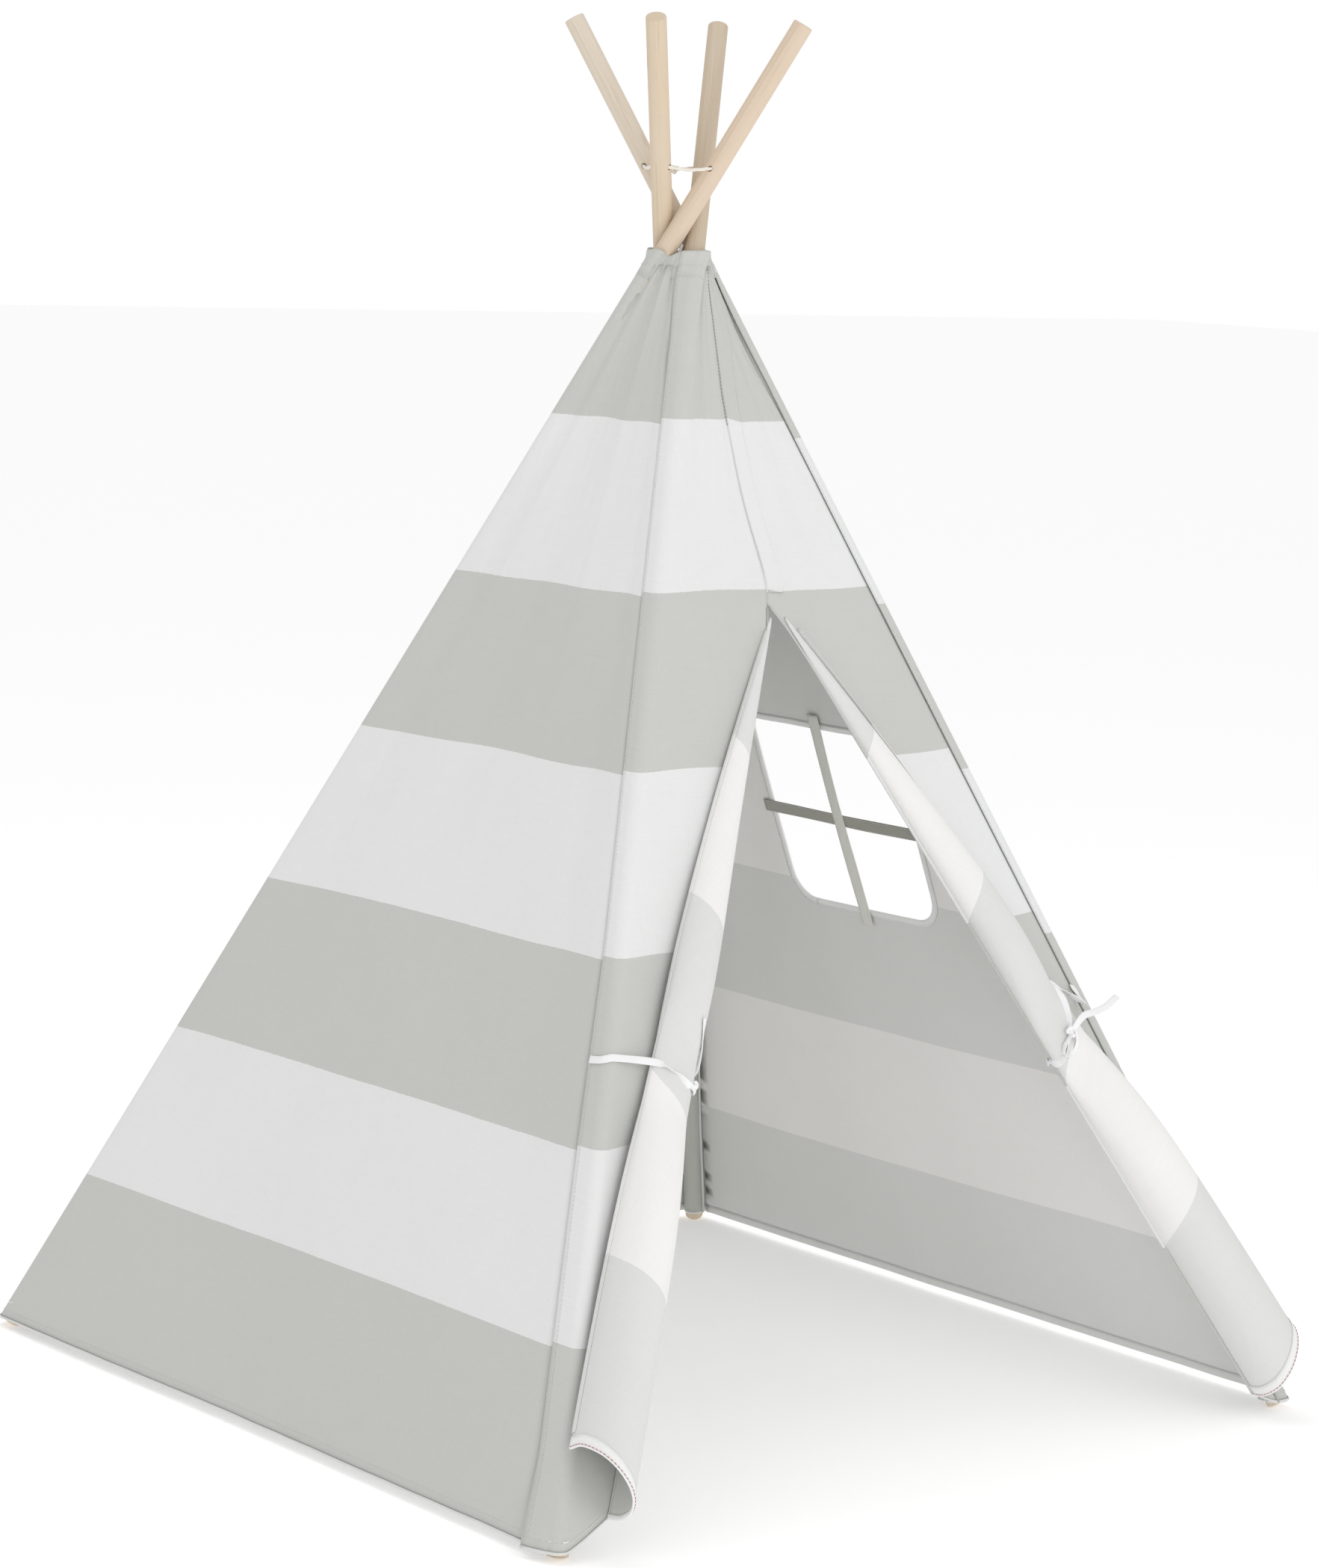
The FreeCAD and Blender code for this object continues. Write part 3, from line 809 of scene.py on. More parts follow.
def panel_point(side, r, z):
    """Points on the outside of a front panel. On the left one r runs from the seam round the pole,
    -1 to 0, to the inner edge at 1; on the right one from the inner edge at 0 to the seam at 1."""
    r, z = np.broadcast_arrays(np.asarray(r, float), np.asarray(z, float))
    first, last, _, level = face_ends("front", z)
    edge = inner_edge(side, z)[..., :2]
    share = pleat_share(z)
    above = smooth(door_apex[2] - 0.01, door_apex[2] + 0.14, z)
    t = np.clip(r, 0, 1)
    if side == "left":
        start, end, s = first, edge, t * share
        width = np.linalg.norm(end - start, axis=-1)
        lap = -0.0006 * np.exp(-(1 - t) * width / 0.003) * smooth(0.952, 0.985, z)
    else:
        start, end, s = edge, last, share + (1 - share) * t
        width = np.linalg.norm(end - start, axis=-1)
        lap = tuck(z) * np.exp(-(1 - t) * width / 0.004)
        lap = lap + 0.0030 * np.exp(-t * width / 0.0015) * smooth(0.952, 1.0, z)
    swell = 0.0035 * np.sin(np.pi * t) * smooth(0.0, 0.3, z) * (1 if side == "left" else -0.4)
    uneven = 0.0012 * np.sin(np.pi * t) * ripple(t * width, z, 71 if side == "left" else 72, 0.13)
    depth = above * sag("front", np.clip(s, 0, 1), z) + (1 - above) * (swell + uneven) + lap
    xy = start + (end - start) * t[..., None] - level * depth[..., None]
    flat = np.concatenate([xy, z[..., None]], -1)
    if side == "right":
        return flat
    return np.where((r < 0)[..., None], face_point("front", np.clip(r, -1, -1e-6), z), flat)


def panel_low(side, r):
    """Lower edge of a front panel, which rises towards the fold."""
    t = np.clip(r, 0, 1) if side == "left" else 1 - np.clip(r, 0, 1)
    return COVER_LOW + (FOLD_LOW[side] - COVER_LOW) * t ** 1.3


def front_panel(side):
    """A front panel. Its rows are level at the apex and above, and slant below it."""
    r = over_face(37) if side == "left" else np.linspace(0, 1, 37)
    bottom = panel_low(side, r)
    z = [bottom + (door_apex[2] - bottom) * h for h in heights(0, 1, 0.0125)]
    z = np.array(z + [np.full_like(r, h) for h in heights(door_apex[2], cover_top)[1:]])
    r = np.broadcast_to(r, z.shape)
    points = panel_point(side, r, z)
    share = pleat_share(z)
    s = np.where(r < 0, r, r * share) if side == "left" else share + (1 - share) * r
    uv = cloth_uv("front", s, z)
    if side == "right":
        uv[..., 1] += STRIPE_STEP * smooth(0.93, 0.99, z)
    uv[..., 0] = points @ face_across
    return thicken(grid("cover_front_" + side, points, uv), CLOTH, material_offset=1)


FRONT = "front_cover", "striped_cotton", face_squash("front")
panel_left, panel_right = front_panel("left"), front_panel("right")
attach(panel_left, PRINT, *FRONT, ["cover_front", "door_side_left"])
attach(panel_right, PRINT, *FRONT, ["door_side_right"])


def pleat_piece():
    """Folded layer of the pleat, which lies on the right panel beside the middle line."""
    across = np.linspace(0, 1, 13)
    lift = 0.0006 + 0.0009 * np.sin(np.pi * across) ** 0.7 + 0.0016 * bump(across, 0.85, 0.15)
    lift = np.where(across > 0.98, 0.0002, np.where(across < 0.02, -0.0012, lift))
    rows = []
    for z in heights(door_apex[2] + 0.012, cover_top + 0.001):
        room = face_width("front", z) * (1 - pleat_share(z))
        r = (across * min(PLEAT_WIDTH, 0.55 * room) + 0.0014) / room
        level = face_ends("front", z)[3]
        rows.append(panel_point("right", np.clip(r, 0, 1), z) + np.append(level, 0) * lift[:, None])
    points = np.array(rows)
    uv = np.stack([points @ face_across, points[..., 2] + STRIPE_STEP * across], -1)
    return thicken(grid("centre_pleat", points, uv), 0.0006)


pleat = attach(pleat_piece(), striped, *FRONT, ["centre_pleat"])
z = heights(1.15, cover_top + 0.012, 0.006)
pleat_sewn = sew("centre_pleat_stitches",
                 panel_point("left", 1.0, z) + face_across * 0.0004 + face_normal * 0.0003,
                 np.append(face_normal[:2], 0.35)[None].repeat(len(z), 0), thread_grey, *FRONT,
                 gap=0.0010, radius=0.00045)
for side in SIDES:
    r = over_face(31) if side == "left" else np.linspace(0, 1, 31)
    bottom_hem("front", "door_hem_" + side, r, panel_low(side, r),
                                       partial(panel_point, side))

# ---- seams beside the poles ---------------------------------------------------------------------
for turns, face in enumerate(FACES):
    z = heights(COVER_LOW + 0.015, cover_top, 0.008)
    normal, _ = outward(partial(face_point, face), np.full_like(z, -0.95), z)
    line = face_point(face, -0.955, z) + normal * 0.0004
    sew("seam_stitches_" + face, turned(line, turns), turned(normal, turns),
                          thread_white, face + "_cover", "striped_cotton", face_squash(face))

# ---- collar: the folded hem at the top of the cover ---------------------------------------------
def collar():
    """The ring of folded canvas round the poles. It dips between them and flares a little."""
    places = np.concatenate([np.linspace(-1, -TURN, 3)[:-1], np.linspace(-TURN, 0, 9)[:-1],
                             np.linspace(0, 0.9, 10), [0.97, 0.992, 1.0]])
    profile = [(0.00025, -0.030), (0.0005, -0.018), (0.0007, -0.009), (0.0012, -0.003),
               (0.0013, -0.0006), (0.0006, 0.0004), (-0.0006, 0.0002), (-0.0014, -0.002),
               (-0.0018, -0.008), (-0.0020, -0.018)]
    columns = []
    for turns, s in ((turns, s) for turns in range(4) for s in places):
        around = turns + (s + 1) / 2
        turn = smooth(-TURN, 0, s)
        dip = 0.0075 * np.sin(np.pi * np.clip((s + 0.4) / 1.4, 0, 1)) ** 2
        top = collar_top - 0.002 - dip + 0.0012 * math.sin(5.3 * around + 0.7 * turns)
        column = []
        for out, rise in profile:
            level = face_ends("back", top + rise)[3]
            facing = unit(level * turn + back_turn(level) * (1 - turn))
            flare = 0.0022 * smooth(-0.016, 0.0, rise) * (1 + math.sin(3 * around + 1))
            gather = 0.0007 * math.sin(38 * around) * smooth(-0.024, -0.004, rise)
            column.append(face_point("back", s, top + rise)
                          + np.append(facing, 0) * (out + flare + gather))
        columns.append(turned(column, turns))
    points = np.transpose(np.array(columns), (1, 0, 2))
    around = [turns + (s + 1) / 2 for turns in range(4) for s in places]
    uv = np.stack(np.meshgrid(np.array(around) * 0.066, 1.30 + 0.002 * np.arange(len(profile))), -1)
    return thicken(grid("collar_hem", points, uv, closed=True), TAPE), points[1]


collar_obj, ring = collar()
attach(collar_obj, striped, "crown", "striped_cotton", None, ["collar_hem"])
ring = np.vstack([ring, ring[:1]])
ring_out = unit(ring * [1, 1, 0])
sew("collar_stitches", ring + ring_out * 0.0004 + UP * 0.001, ring_out, thread_white, "crown",
    "striped_cotton")

# ---- door flaps ---------------------------------------------------------------------------------
FLAP_CURL = [(0, 0), (-0.05, 0.30), (0.03, 0.68), (0.26, 0.95), (0.56, 1.0), (0.84, 0.84),
             (1.02, 0.48), (1.02, 0.12)]         # the hem's curl: share of its chord, share of its bulge
FLAP_BULGE = 0.066            # how far the hem's curl stands out
FLAP_REACH = {"left": 0.037, "right": 0.041}     # how far a free corner lies beside the fold
FLAP_RISE = 0.072             # how far it lies above the fold's lower end
FLAP_TIE_AT = {"left": 0.545, "right": 0.568}    # share of a flap's length where its tie pulls it in
curl_steps = spline([(x, y, 0) for x, y in FLAP_CURL], 41)


def flap_hem(side):
    """The hem line of a flap: from the fold, curling out to the front, to its free corner."""
    start = fold_point(side, FOLD_LOW[side]) + face_normal * 0.0004
    chord = face_across * (SIDES[side] * FLAP_REACH[side]) + face_up * (FLAP_RISE / face_up[2])
    return start + curl_steps[:, :1] * chord + curl_steps[:, 1:2] * FLAP_BULGE * face_normal


def flap_spread(k):
    """How much wider a flap is than a plain cone from the doorway's top to its hem."""
    return 1 + 1.15 * (1 - np.asarray(k))


def flap_point(side, k, t):
    """Points on a flap: k from the apex of the doorway to the hem, t from the fold to the free edge."""
    k, t = np.broadcast_arrays(np.asarray(k, float), np.asarray(t, float))
    hem = flap_hem(side)
    index = np.clip(t, 0, 1) * (len(hem) - 1)
    at = np.stack([np.interp(index, np.arange(len(hem)), hem[:, i]) for i in range(3)], -1)
    spread = flap_spread(k)
    out = (at - hem[0]) @ face_normal
    level = at - hem[0] - face_normal * out[..., None]
    out = out * (1 + 0.45 * (spread - 1))
    ray = hem[0] - door_apex + level * spread[..., None] + face_normal * out[..., None]
    # the tie draws the free edge in towards the fold, and the cloth stands out below and above it
    at_tie = FLAP_TIE_AT[side] + (0.055 if side == "left" else 0.010) * t
    tie = np.clip(bump(k, at_tie, 0.10) + 0.35 * bump(k, at_tie, 0.035), 0, 1)
    near_top = 0.6 + 0.4 * smooth(0.1, 0.6, k)
    seed = 5 if side == "left" else 8
    crease = 0.05 * np.sin(7 * t + seed) * bump(k, at_tie, 0.16) * np.sin(np.pi * t)
    crease = crease + 0.03 * ripple(t * 0.6, k * 0.8, 60 + seed, 0.35) * np.sin(np.pi * t) ** 0.7
    lift = out * ((1 - 0.60 * tie) * near_top - 1) + np.abs(out) * crease
    drawn = -SIDES[side] * 0.008 * tie * t * t
    return (door_apex + ray * k[..., None] + face_normal * (lift * k)[..., None]
            + face_across * drawn[..., None])


def flap_uv(side, k, t):
    """Place on the flap as it was cut, so that its stripes run on from the panel beside it."""
    rays = flap_hem(side) - door_apex
    length = np.linalg.norm(rays, axis=1)
    cosines = (unit(rays)[1:] * unit(rays)[:-1]).sum(1)
    turn = np.concatenate([[0], np.cumsum(np.arccos(np.clip(cosines, -1, 1)))])
    index = np.clip(t, 0, 1) * (len(rays) - 1)
    angle = np.interp(index, np.arange(len(rays)), turn) * flap_spread(k) ** 0.7
    reach = np.interp(index, np.arange(len(rays)), length) * k
    first = math.acos(min(1.0, unit(rays[0]) @ -face_up))
    height = door_apex[2] - reach * np.cos(first - angle) * face_up[2]
    return np.stack([reach * np.sin(first - angle), height], -1)


def flap_facing(side, k, t):
    """Direction in which the shown side of a tied-back flap faces."""
    step = 1e-3
    a = flap_point(side, k, np.clip(t + step, 0, 1)) - flap_point(side, k, np.clip(t - step, 0, 1))
    b = flap_point(side, k + step, t) - flap_point(side, k - step, t)
    return unit(np.cross(a, b)) * -SIDES[side]


def closing(side, keep):
    """The squash of a flap and of what is tied round it: the flap's joint, the face's normal, the doorway's apex
    and the share kept.
    """
    return "flap_%s_close" % side, tuple(face_normal), tuple(door_apex), keep


def flap(side):
    """A door flap, its bound hem, and the narrow turned hem along its free edge."""
    ride = side + "_flap", "striped_cotton", closing(side, 0.16)
    bound = side + "_flap", "white_binding", closing(side, 0.16)
    k, t = np.meshgrid(np.linspace(0.02, 1, 97), np.linspace(0, 1, 33), indexing="ij")
    sheet = grid("flap_" + side, flap_point(side, k, t), flap_uv(side, k, t), flip=side == "right")
    thicken(sheet, CLOTH, material_offset=1)
    attach(sheet, (striped_back, striped), *ride, ["flap_" + side])
    # the bound hem is wide on the reverse that shows, narrow on the printed side
    t = np.linspace(0, 1, 81)
    k = np.ones_like(t)
    line, facing = flap_point(side, k, t), flap_facing(side, k, t)
    into = unit(flap_point(side, k - 0.01, t) - line)
    hem = binding("flap_hem_" + side, line, into, facing, front=0.0125, back=0.0045)
    attach(hem, white_cotton, *bound, ["flap_hem_" + side])
    red = sew("flap_hem_stitches_" + side, line + into * 0.0011 + facing * 0.0012, facing, thread_red,
              *bound, length=0.0042, gap=0.0008, radius=0.00045)
    k = np.linspace(0.04, 0.985, 160)
    t = np.ones_like(k)
    line, facing = flap_point(side, k, t), flap_facing(side, k, t)
    into = unit(flap_point(side, k, t - 0.03) - line)
    rows = np.array([line + into * a + facing * b for a, b in (
        (-0.0004, 0), (-0.0009, 0.0006), (0.0004, 0.0011), (0.0050, 0.0010), (0.0062, 0.0004))])
    uv = np.repeat(flap_uv(side, k, t)[None], len(rows), 0)
    edge = thicken(grid("flap_edge_" + side, rows, uv, flip=side == "right"), TAPE, offset=0)
    attach(edge, striped_back, *ride)
    sewn = sew("flap_edge_stitches_" + side, line + into * 0.0045 + facing * 0.0012, facing,
               thread_white, *ride)
    return sheet, [hem, red, edge, sewn]


flaps = {side: flap(side) for side in SIDES}

# ---- rounded fold along each side of the doorway ------------------------------------------------
for side, sign in SIDES.items():
    z = heights(FOLD_LOW[side] + 0.001, door_apex[2] - 0.004, 0.010)
    fold = fold_point(side, z)
    to_door = unit(np.cross(face_normal, fold[-1] - fold[0]))
    to_door = to_door * np.sign(to_door @ face_across * -sign)
    size = (0.3 + 0.7 * smooth(0.95, 0.80, z)) * (1 + 0.15 * ripple(z, z * 0, 33 + sign, 0.2))
    profile = [(-0.010, -0.0022), (-0.004, -0.0021), (0.0012, -0.0018), (0.0026, -0.0004),
               (0.0030, 0.0010), (0.0022, 0.0024), (0.0004, 0.0026), (-0.0014, 0.0016)]
    rows = np.array([fold + (to_door * a + face_normal * b) * size[:, None] for a, b in profile])
    uv = np.stack(np.broadcast_arrays(np.array(profile)[:, :1], z), -1)
    ride = side + "_door_edge", "striped_cotton"
    edge = thicken(grid("door_edge_" + side, rows, uv, flip=side == "left"), TAPE, offset=0)
    attach(edge, striped, *ride, None, ["door_edge_" + side])
    sew("door_edge_stitches_" + side, fold - to_door * 0.008 - face_normal * 0.0025,
        np.repeat(-face_normal[None], len(z), 0), thread_white, *ride)

# ---- ties ---------------------------------------------------------------------------------------
def ribbon(name, line, facing, width, thick=0.0009, twist=None):
    """A flat woven tape along a line, with soft selvedges and closed ends."""
    facing = unit(np.asarray(facing, float))
    forward = unit(np.gradient(line, axis=0))
    facing = unit(facing - forward * (facing * forward).sum(1, keepdims=True))
    side = np.cross(forward, facing)
    if twist is not None:
        c, s = np.cos(twist)[:, None], np.sin(twist)[:, None]
        facing, side = facing * c + side * s, side * c - facing * s
    profile = [(-0.5, 0.0), (-0.46, 0.5), (-0.2, 0.62), (0.2, 0.62), (0.46, 0.5), (0.5, 0.0),
               (0.46, -0.5), (0.2, -0.62), (-0.2, -0.62), (-0.46, -0.5)]
    rings = np.stack([line + side * a * width + facing * b * thick for a, b in profile], 1)
    count, sides = rings.shape[:2]
    faces = [f[::-1] for f in grid_faces(count, sides, True)]
    faces += [tuple(range(sides)), tuple((count - 1) * sides + j for j in reversed(range(sides)))]
    uv = np.stack(np.broadcast_arrays(distances(line)[:, None], np.array(profile)[:, 0] * width), -1)
    return make_object(name, rings.reshape(-1, 3), faces, uv.reshape(-1, 2))


def knot_line(centre, forward, facing, size):
    """A small overhand knot, as the line of a trefoil."""
    forward, facing = unit(forward), unit(facing)
    facing = unit(facing - forward * (facing @ forward))
    side = np.cross(forward, facing)
    a = np.linspace(0, math.tau, 73)[:-1]
    x = (np.sin(a) + 2 * np.sin(2 * a)) / 3
    y = (np.cos(a) - 2 * np.cos(2 * a)) / 3
    h = -np.sin(3 * a) / 3
    return centre + size * (np.outer(x, forward) + np.outer(y, side) * 0.8 + np.outer(h, facing) * 0.75)


def tie_piece(obj, side, *stands_for):
    attach(obj, tape_cotton, "front_%s_pole" % side, "white_tape", closing(side, 0.35), stands_for)


def tie(side, on_panel, on_flap, lift, count):
    """Tape from the corner seam over the panel and the flap, and round the doorway's fold, by way of
    (r, height, lift) on the panel and (t, k) on the flap. Gives its places and facings there."""
    points, facing = [], []
    for r, z, off in on_panel:
        facing.append(outward(partial(panel_point, side), r, z)[0])
        points.append(panel_point(side, r, z) + facing[-1] * off)
    for t, k in on_flap:
        facing.append(flap_facing(side, k, t))
        points.append(flap_point(side, k, t) + facing[-1] * lift)
    door = face_across * -SIDES[side]
    fold = fold_point(side, points[-1][2] - 0.002)
    points += [fold + door * 0.0055 + face_normal * 0.001, fold + door * 0.002 - face_normal * 0.006,
               fold - door * 0.030 - face_normal * 0.010]
    facing += [door + 0.2 * face_normal, door * 0.6 - face_normal, -face_normal]
    tape = ribbon("tie_" + side, spline(points, count), resampled(np.array(facing), count), 0.0088)
    tie_piece(tape, side, "tie_" + side)
    return points, facing


def tie_knot(side, place, forward, facing, size, radius):
    line = knot_line(place, forward, facing, size)
    tie_piece(tube("tie_knot_" + side, line, radius, 10, lobes=2, lobe_depth=0.25), side,
              "tie_knot_" + side)


points, _ = tie("left", [(-0.97, 0.480, 0.0016), (-0.75, 0.482, 0.0016), (-0.45, 0.484, 0.0016),
                         (-0.1, 0.485, 0.0016)],
                [(t, FLAP_TIE_AT["left"] + 0.055 * t) for t in (0.80, 0.60, 0.42, 0.25, 0.10, 0.02)],
                0.0017, 110)
tie_knot("left", points[8] + face_normal * 0.002 + face_across * 0.002, UP + face_across * 0.4,
         face_normal + face_across, 0.0068, 0.0022)
# the tape's loose end, which lies up over the flap from the knot
ends, facing = [], []
for t, rise in ((0.04, 0.004), (0.16, 0.014), (0.30, 0.030), (0.42, 0.050)):
    facing.append(flap_facing("left", FLAP_TIE_AT["left"] - rise, t))
    ends.append(flap_point("left", FLAP_TIE_AT["left"] - rise, t) + facing[-1] * 0.0022)
tie_piece(ribbon("tie_tail_left", spline(ends, 40), resampled(np.array(facing), 40), 0.0050), "left")

points, facing = tie("right", [(0.985, 0.500, 0.003), (0.93, 0.486, 0.00916), (0.86, 0.476, 0.017)],
                     [(t, FLAP_TIE_AT["right"] - rise) for t, rise in (
                         (0.90, 0.020), (0.72, 0.006), (0.55, -0.010), (0.38, -0.010), (0.2, -0.006),
                         (0.03, 0.0))], 0.0018, 120)
out = facing[5]
place = points[5] + out * 0.003
tie_knot("right", place, face_across - UP * 0.8, out, 0.0075, 0.0024)
# a loop that hangs below the knot, and a tail that stands out past the corner
loop = spline([place + face_across * a + UP * b + out * c for a, b, c in (
    (0.004, 0, 0.003), (0.007, -0.012, 0.004), (0.004, -0.024, 0.004), (-0.006, -0.030, 0.004),
    (-0.014, -0.026, 0.003), (-0.011, -0.014, 0.003), (-0.001, -0.003, 0.003))], 70)
tie_piece(ribbon("tie_loop_right", loop, np.repeat((face_across * 0.8 + out)[None], 70, 0), 0.0062,
                 twist=np.linspace(0.2, 1.4, 70)), "right")
tail = spline([place + out * 0.002] + [place + face_across * a + UP * b - face_normal * c for a, b, c in (
    (0.018, 0.016, 0), (0.040, 0.020, 0.004), (0.062, 0.025, 0.008), (0.082, 0.036, 0.010))], 70)
tie_piece(ribbon("tie_tail_right", tail, np.repeat((UP + face_normal * 0.5)[None], 70, 0), 0.0085,
                 twist=np.linspace(1.0, 0.1, 70)), "right")

# ---- pole sleeves -------------------------------------------------------------------------------
def sleeve(turns, corner):
    """The pocket for a pole, inside the corner of the cover, and its wavy seam allowance."""
    low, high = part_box("sleeve_" + corner)
    z = heights(low.z + 0.004, high.z, 0.014)
    angle = np.linspace(math.radians(28), math.radians(332), 30)
    behind = smooth(math.radians(75), 0, np.abs(angle - math.pi))
    # measured across the leaning pole, so the level section is stretched along its lean
    radial = np.cos(angle)[:, None] * pole_out / lean + np.sin(angle)[:, None] * pole_side
    rows = []
    for h in z:
        slack = 0.0030 * smooth(1.28, 1.0, h) * (1 + 0.45 * math.sin(19 * h + turns))
        reach = 0.0131 + (slack + 0.0008 * np.sin(5 * angle + 14 * h)) * behind
        xy = pole_centre(h)[:2] + radial * reach[:, None]
        rows.append(np.column_stack([xy, np.full(len(xy), h)]))
    points = turned(rows, turns)
    uv = np.stack(np.broadcast_arrays(np.arange(points.shape[1]) * 0.0030, z[:, None]), -1)
    pocket = thicken(grid("sleeve_" + corner, points, uv), TAPE, offset=0)
    ride = corner + "_pole", "sleeve_cotton"
    attach(pocket, sleeve_cotton, *ride, None, ["sleeve_" + corner])
    # seam allowance: a narrow wavy strip that stands off the sleeve, on the right seen from inside
    centre = turned(pole_centre(z), turns)
    base = points[:, SLEEVE_SEAM]
    away = unit((base - centre) * [1, 1, 0])
    wave = 0.16 * np.sin(27 * z + 2 * turns) + 0.10 * np.sin(53 * z)
    across = np.cross(UP, away) * wave[:, None]
    wide = 0.0048 + 0.0010 * np.sin(31 * z)
    strip = np.stack([base - away * 0.0005, base + (away + across * 0.4) * 0.003,
                      base + (away + across) * wide[:, None]], 1)
    uv = np.stack(np.broadcast_arrays(np.array([0, 0.003, 0.006]), z[:, None]), -1)
    attach(thicken(grid("sleeve_seam_" + corner, strip, uv), 0.0009, offset=0), hem_cotton, *ride)
    into = np.repeat(turned([[-0.35, -0.35, 0.87]], turns), len(points[0]), 0)
    outside = unit((points[0] - centre[0]) * [1, 1, 0])
    rim = binding("sleeve_hem_" + corner, points[0], into, outside, 0.004, 0.004, gap=0.0007,
                  thickness=0.0004)
    attach(rim, white_cotton, corner + "_pole", "white_binding")


SLEEVE_SEAM = 20              # the column of a sleeve's grid that its seam allowance stands on
for turns, corner in enumerate(CORNERS):
    sleeve(turns, corner)

# ---- window: binding and straps -----------------------------------------------------------------
def on_right(across, z, out=0.0):
    """Points on the right face, by distance across from its middle line, and height."""
    base = face_point("right", face_share("right", across, z), z)
    return turned(base + face_normal * out, 1)


def window_pieces():
    """The window's binding, its two straps, and their stitches."""
    normal = turned(face_normal, 1)
    outline = window_outline(0.0, 0.004)
    line = on_right(*np.vstack([outline, outline[:1]]).T)
    tangent = unit(np.gradient(np.vstack([line[-2], line, line[1]]), axis=0)[1:-1])
    into = np.cross(tangent, normal)
    into = into * np.sign(((line - line[:-1].mean(0)) * into).sum(1))[:, None]
    normals = np.repeat(normal[None], len(line), 0)
    ride = "right_cover", "white_binding", face_squash("right")
    rim = binding("window_binding", line, into, normals, 0.0075, 0.0075)
    pieces = [attach(rim, white_cotton, *ride, ["window_binding"])]
    for name, out in (("out", 0.0011), ("in", -0.0020)):
        pieces.append(sew("window_stitches_" + name, line + into * 0.0060 + normal * out,
                          normals * np.sign(out), thread_white, *ride))
    steps = np.linspace(0, 1, 70)
    hang = 0.0015 * np.sin(np.pi * np.clip((steps - 0.08) / 0.84, 0, 1))
    backs = np.repeat(-normal[None], len(steps), 0)
    for node, material, slot, width, out in (
            ("window_strap_vertical", strap_light, "strap_light", 0.0195, -0.0044),
            ("window_strap_horizontal", strap_dark, "strap_dark", 0.0165, -0.0030)):
        low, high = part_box(node)
        if node == "window_strap_vertical":
            z = np.linspace(low.z + 0.001, high.z - 0.001, len(steps))
            across = (low.y + high.y) / 2 + 0.0012 * np.sin(9 * z)
        else:
            across = np.linspace(low.y + 0.002, high.y - 0.002, len(steps))
            z = (low.z + high.z) / 2 + 0.0015 * np.sin(11 * across + 1)
        path = on_right(across, z, out) - normal * hang[:, None]
        strap = ribbon(node, path, backs, width, twist=0.06 * np.sin(np.pi * steps) * np.sin(7 * steps))
        ride = "right_cover", slot, face_squash("right")
        pieces.append(attach(strap, material, *ride, [node]))
        side = unit(np.cross(np.gradient(path, axis=0), normal)) * (width / 2 - 0.0018)
        for sign, word in ((-1, "a"), (1, "b")):
            pieces.append(sew("%s_stitches_%s" % (node, word), path + side * sign - normal * 0.0008,
                              backs, thread_white, *ride))
    return pieces


window_rows = window_pieces()

# ---- cord through the poles, its knot and the crown tape ----------------------------------------
CORD_RADIUS = 0.0021
CORD_LAY = math.tau / 0.011 / 3   # its strands' turn in each metre
CORD_MOUTH = 0.0125               # pole axis to where the cord leaves its hole
cord_low, cord_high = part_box("lashing_cord")
holes = [turned(pole_centre((cord_low.z + cord_high.z) / 2), turns) for turns in range(5)]
for turns, corner in enumerate(CORNERS):
    following = CORNERS[(turns + 1) % 4]
    here, there = holes[turns], holes[turns + 1]
    here_side, there_side = (unit(np.cross(UP, hole * [1, 1, 0])) for hole in (here, there))
    leave, arrive = here + here_side * CORD_MOUTH, there - there_side * CORD_MOUTH
    middle = (leave + arrive) / 2 - UP * 0.0022 + unit((leave + arrive) * [1, 1, 0]) * 0.001
    line = spline([here - here_side * 0.002, here + here_side * 0.006, leave, middle, arrive,
                   there - there_side * 0.006, there + there_side * 0.002], 121)
    for half, part, body in (("a", line[:62], corner), ("b", line[60:], following)):
        piece = tube("lashing_cord_%d%s" % (turns, half), part, CORD_RADIUS, 18, lobes=3,
                     lobe_depth=0.22, twist=CORD_LAY)
        piece.data.materials.append(cord_cotton)
        if turns == 0 and half == "a":
            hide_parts("lashing_cord")
        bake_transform(piece)
    if turns == 0:
        knot_at, knot_run = line[61], line[63] - line[59]

knot = tube("lashing_knot", knot_line(knot_at, knot_run, face_normal, 0.0052), CORD_RADIUS, 12,
            lobes=3, lobe_depth=0.2, twist=CORD_LAY)
attach(knot, cord_cotton, "crown", "lashing_cotton", None, ["lashing_knot"])

low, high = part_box("crown_tape")
foot = np.array([low.x + 0.0015, (low.y + high.y) / 2, low.z - 0.004])
head = np.array([high.x - 0.0015, (low.y + high.y) / 2, high.z])
line = spline([foot, foot * 0.6 + head * 0.4 + [-0.001, 0, 0], head], 30)
tape = ribbon("crown_tape", line, np.repeat([[-1.0, -1.0, 0.3]], 30, 0), 0.0032, 0.0008)
attach(tape, tape_cotton, "crown", "white_tape", None, ["crown_tape"])

bpy.context.view_layer.update()

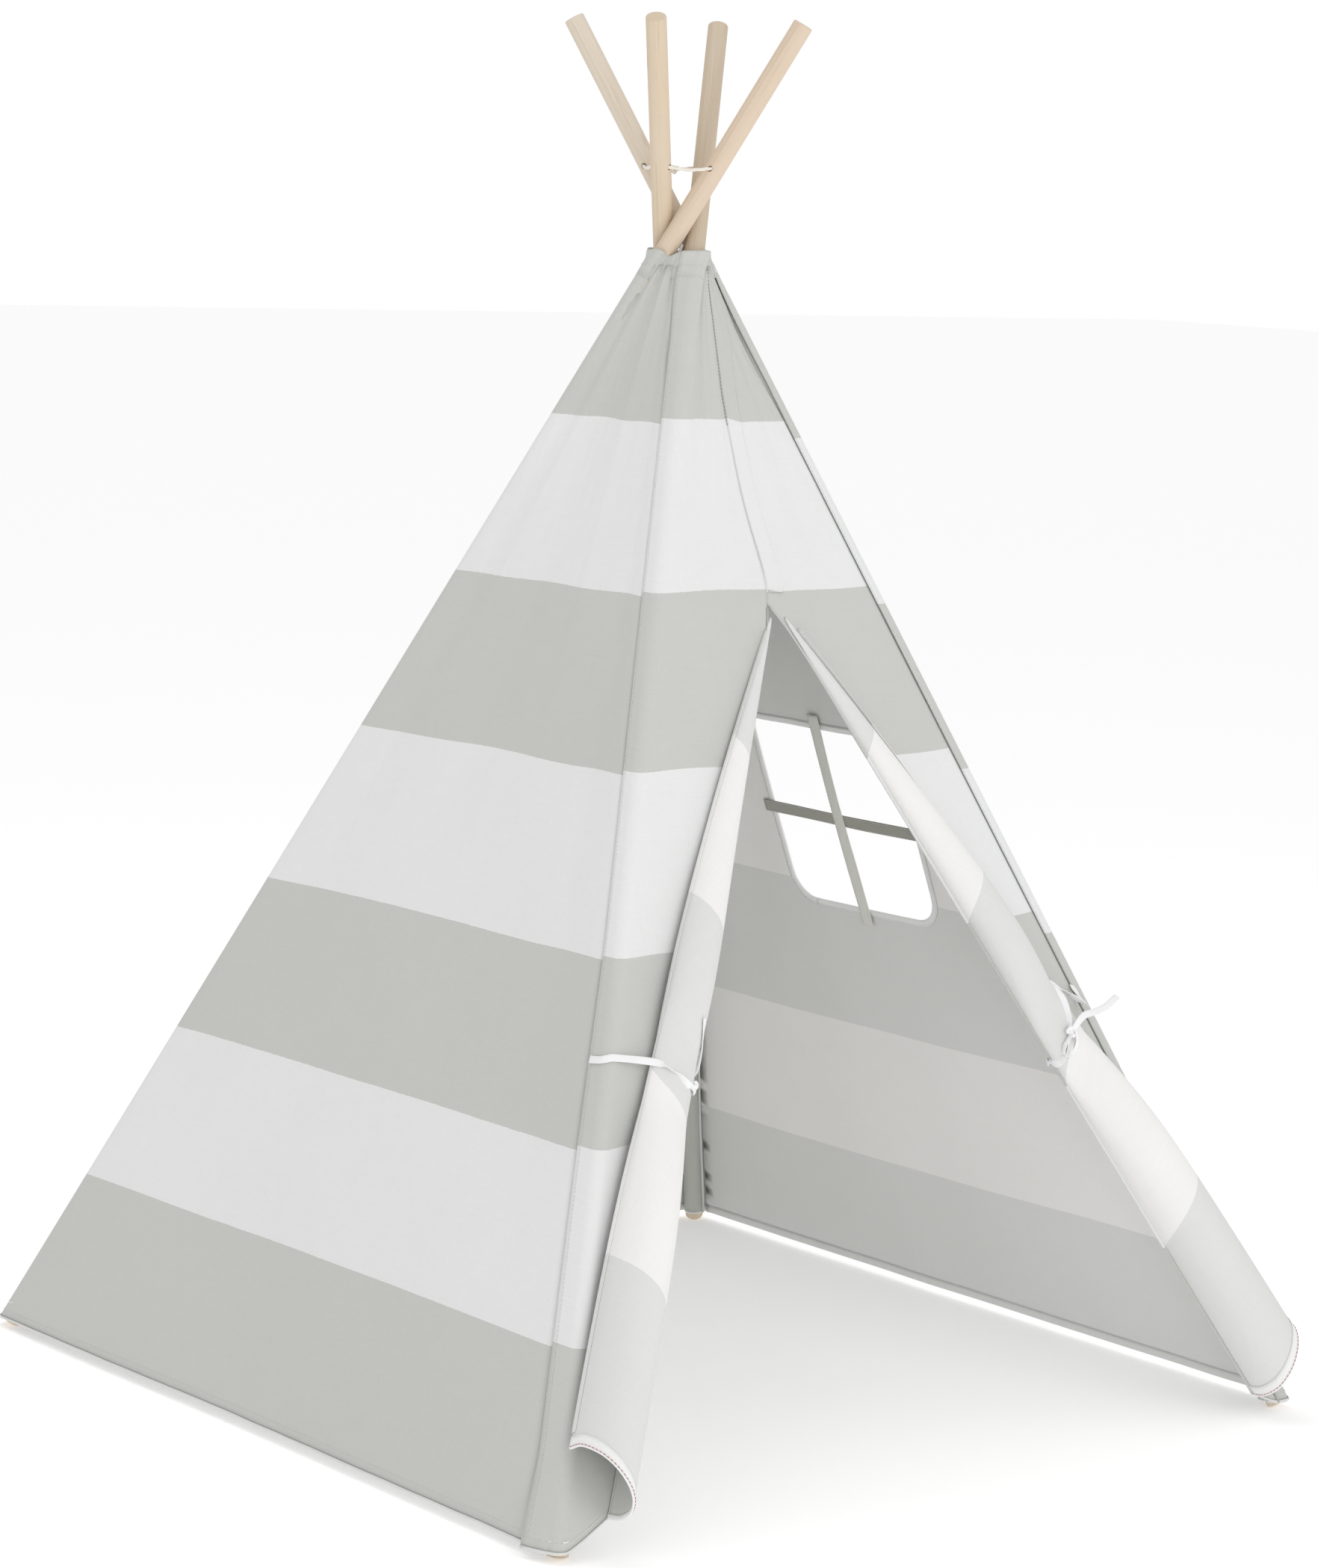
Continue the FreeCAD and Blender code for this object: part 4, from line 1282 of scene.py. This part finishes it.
# ---- floor, light and camera --------------------------------------------------------------------
floor = make_object("floor", [(-30, -30, 0), (30, -30, 0), (30, 30, 0), (-30, 30, 0)], [(0, 1, 2, 3)],
                    smooth_shade=False)
FLOOR_GLOW = 0.26             # the floor is lit from below, so that it stays pale
paper = Nodes("floor_paper")
paper_noise = paper.noise(paper.put("TexCoord").outputs["Object"], 40, 2.0)
floor.data.materials.append(paper.finish(
    paper.mix(paper_noise, linear(250, 250, 250), linear(253, 253, 253)), 0.9, []))
paper.shader.inputs["Emission Color"].default_value = (1.0, 1.0, 1.0, 1.0)
paper.shader.inputs["Emission Strength"].default_value = FLOOR_GLOW

SKY = 0.72
world = bpy.data.worlds.new("studio")
world.use_nodes = True
tree = world.node_tree
backdrop, sky = tree.nodes["Background"], tree.nodes.new("ShaderNodeBackground")
sky.inputs["Color"].default_value = backdrop.inputs["Color"].default_value = (1.0, 1.0, 1.0, 1.0)
sky.inputs["Strength"].default_value = SKY
either = tree.nodes.new("ShaderNodeMixShader")
tree.links.new(tree.nodes.new("ShaderNodeLightPath").outputs["Is Camera Ray"], either.inputs["Fac"])
tree.links.new(sky.outputs[0], either.inputs[1])
tree.links.new(backdrop.outputs[0], either.inputs[2])
tree.links.new(either.outputs[0], tree.nodes["World Output"].inputs["Surface"])
bpy.context.scene.world = world
bpy.context.scene.view_settings.view_transform = "Standard"


def area_light(name, place, target, size, power):
    data = bpy.data.lights.new(name, "AREA")
    data.shape = "DISK"
    data.size = size
    data.energy = power
    obj = bpy.data.objects.new(name, data)
    obj.location = place
    obj.rotation_euler = (Vector(target) - Vector(place)).to_track_quat("-Z", "Y").to_euler()
    bpy.context.scene.collection.objects.link(obj)


area_light("key", (0.6, -5.2, 2.9), (0, 0, 0.7), 3.2, 34)
area_light("fill", (-1.9, -4.4, 0.8), (0.3, 0, 0.4), 1.8, 19)
area_light("top", (-0.5, 0.5, 4.6), (0, 0, 0.8), 3.0, 20)

camera_data = bpy.data.cameras.new("camera")
camera_data.sensor_fit = "HORIZONTAL"
camera_data.sensor_width = 36.0
camera_data.lens = 120.8
camera = bpy.data.objects.new("camera", camera_data)
right = Vector((0.78987, -0.61205, 0.03880))
above = Vector((0.05485, 0.13351, 0.98952))
ahead = Vector((0.61082, 0.77947, -0.13902))
camera.matrix_world = Matrix((
    (right.x, above.x, -ahead.x, -3.2282),
    (right.y, above.y, -ahead.y, -4.1213),
    (right.z, above.z, -ahead.z, 1.4499),
    (0, 0, 0, 1)))
camera_data.clip_end = 200
bpy.context.scene.collection.objects.link(camera)
bpy.context.scene.camera = camera
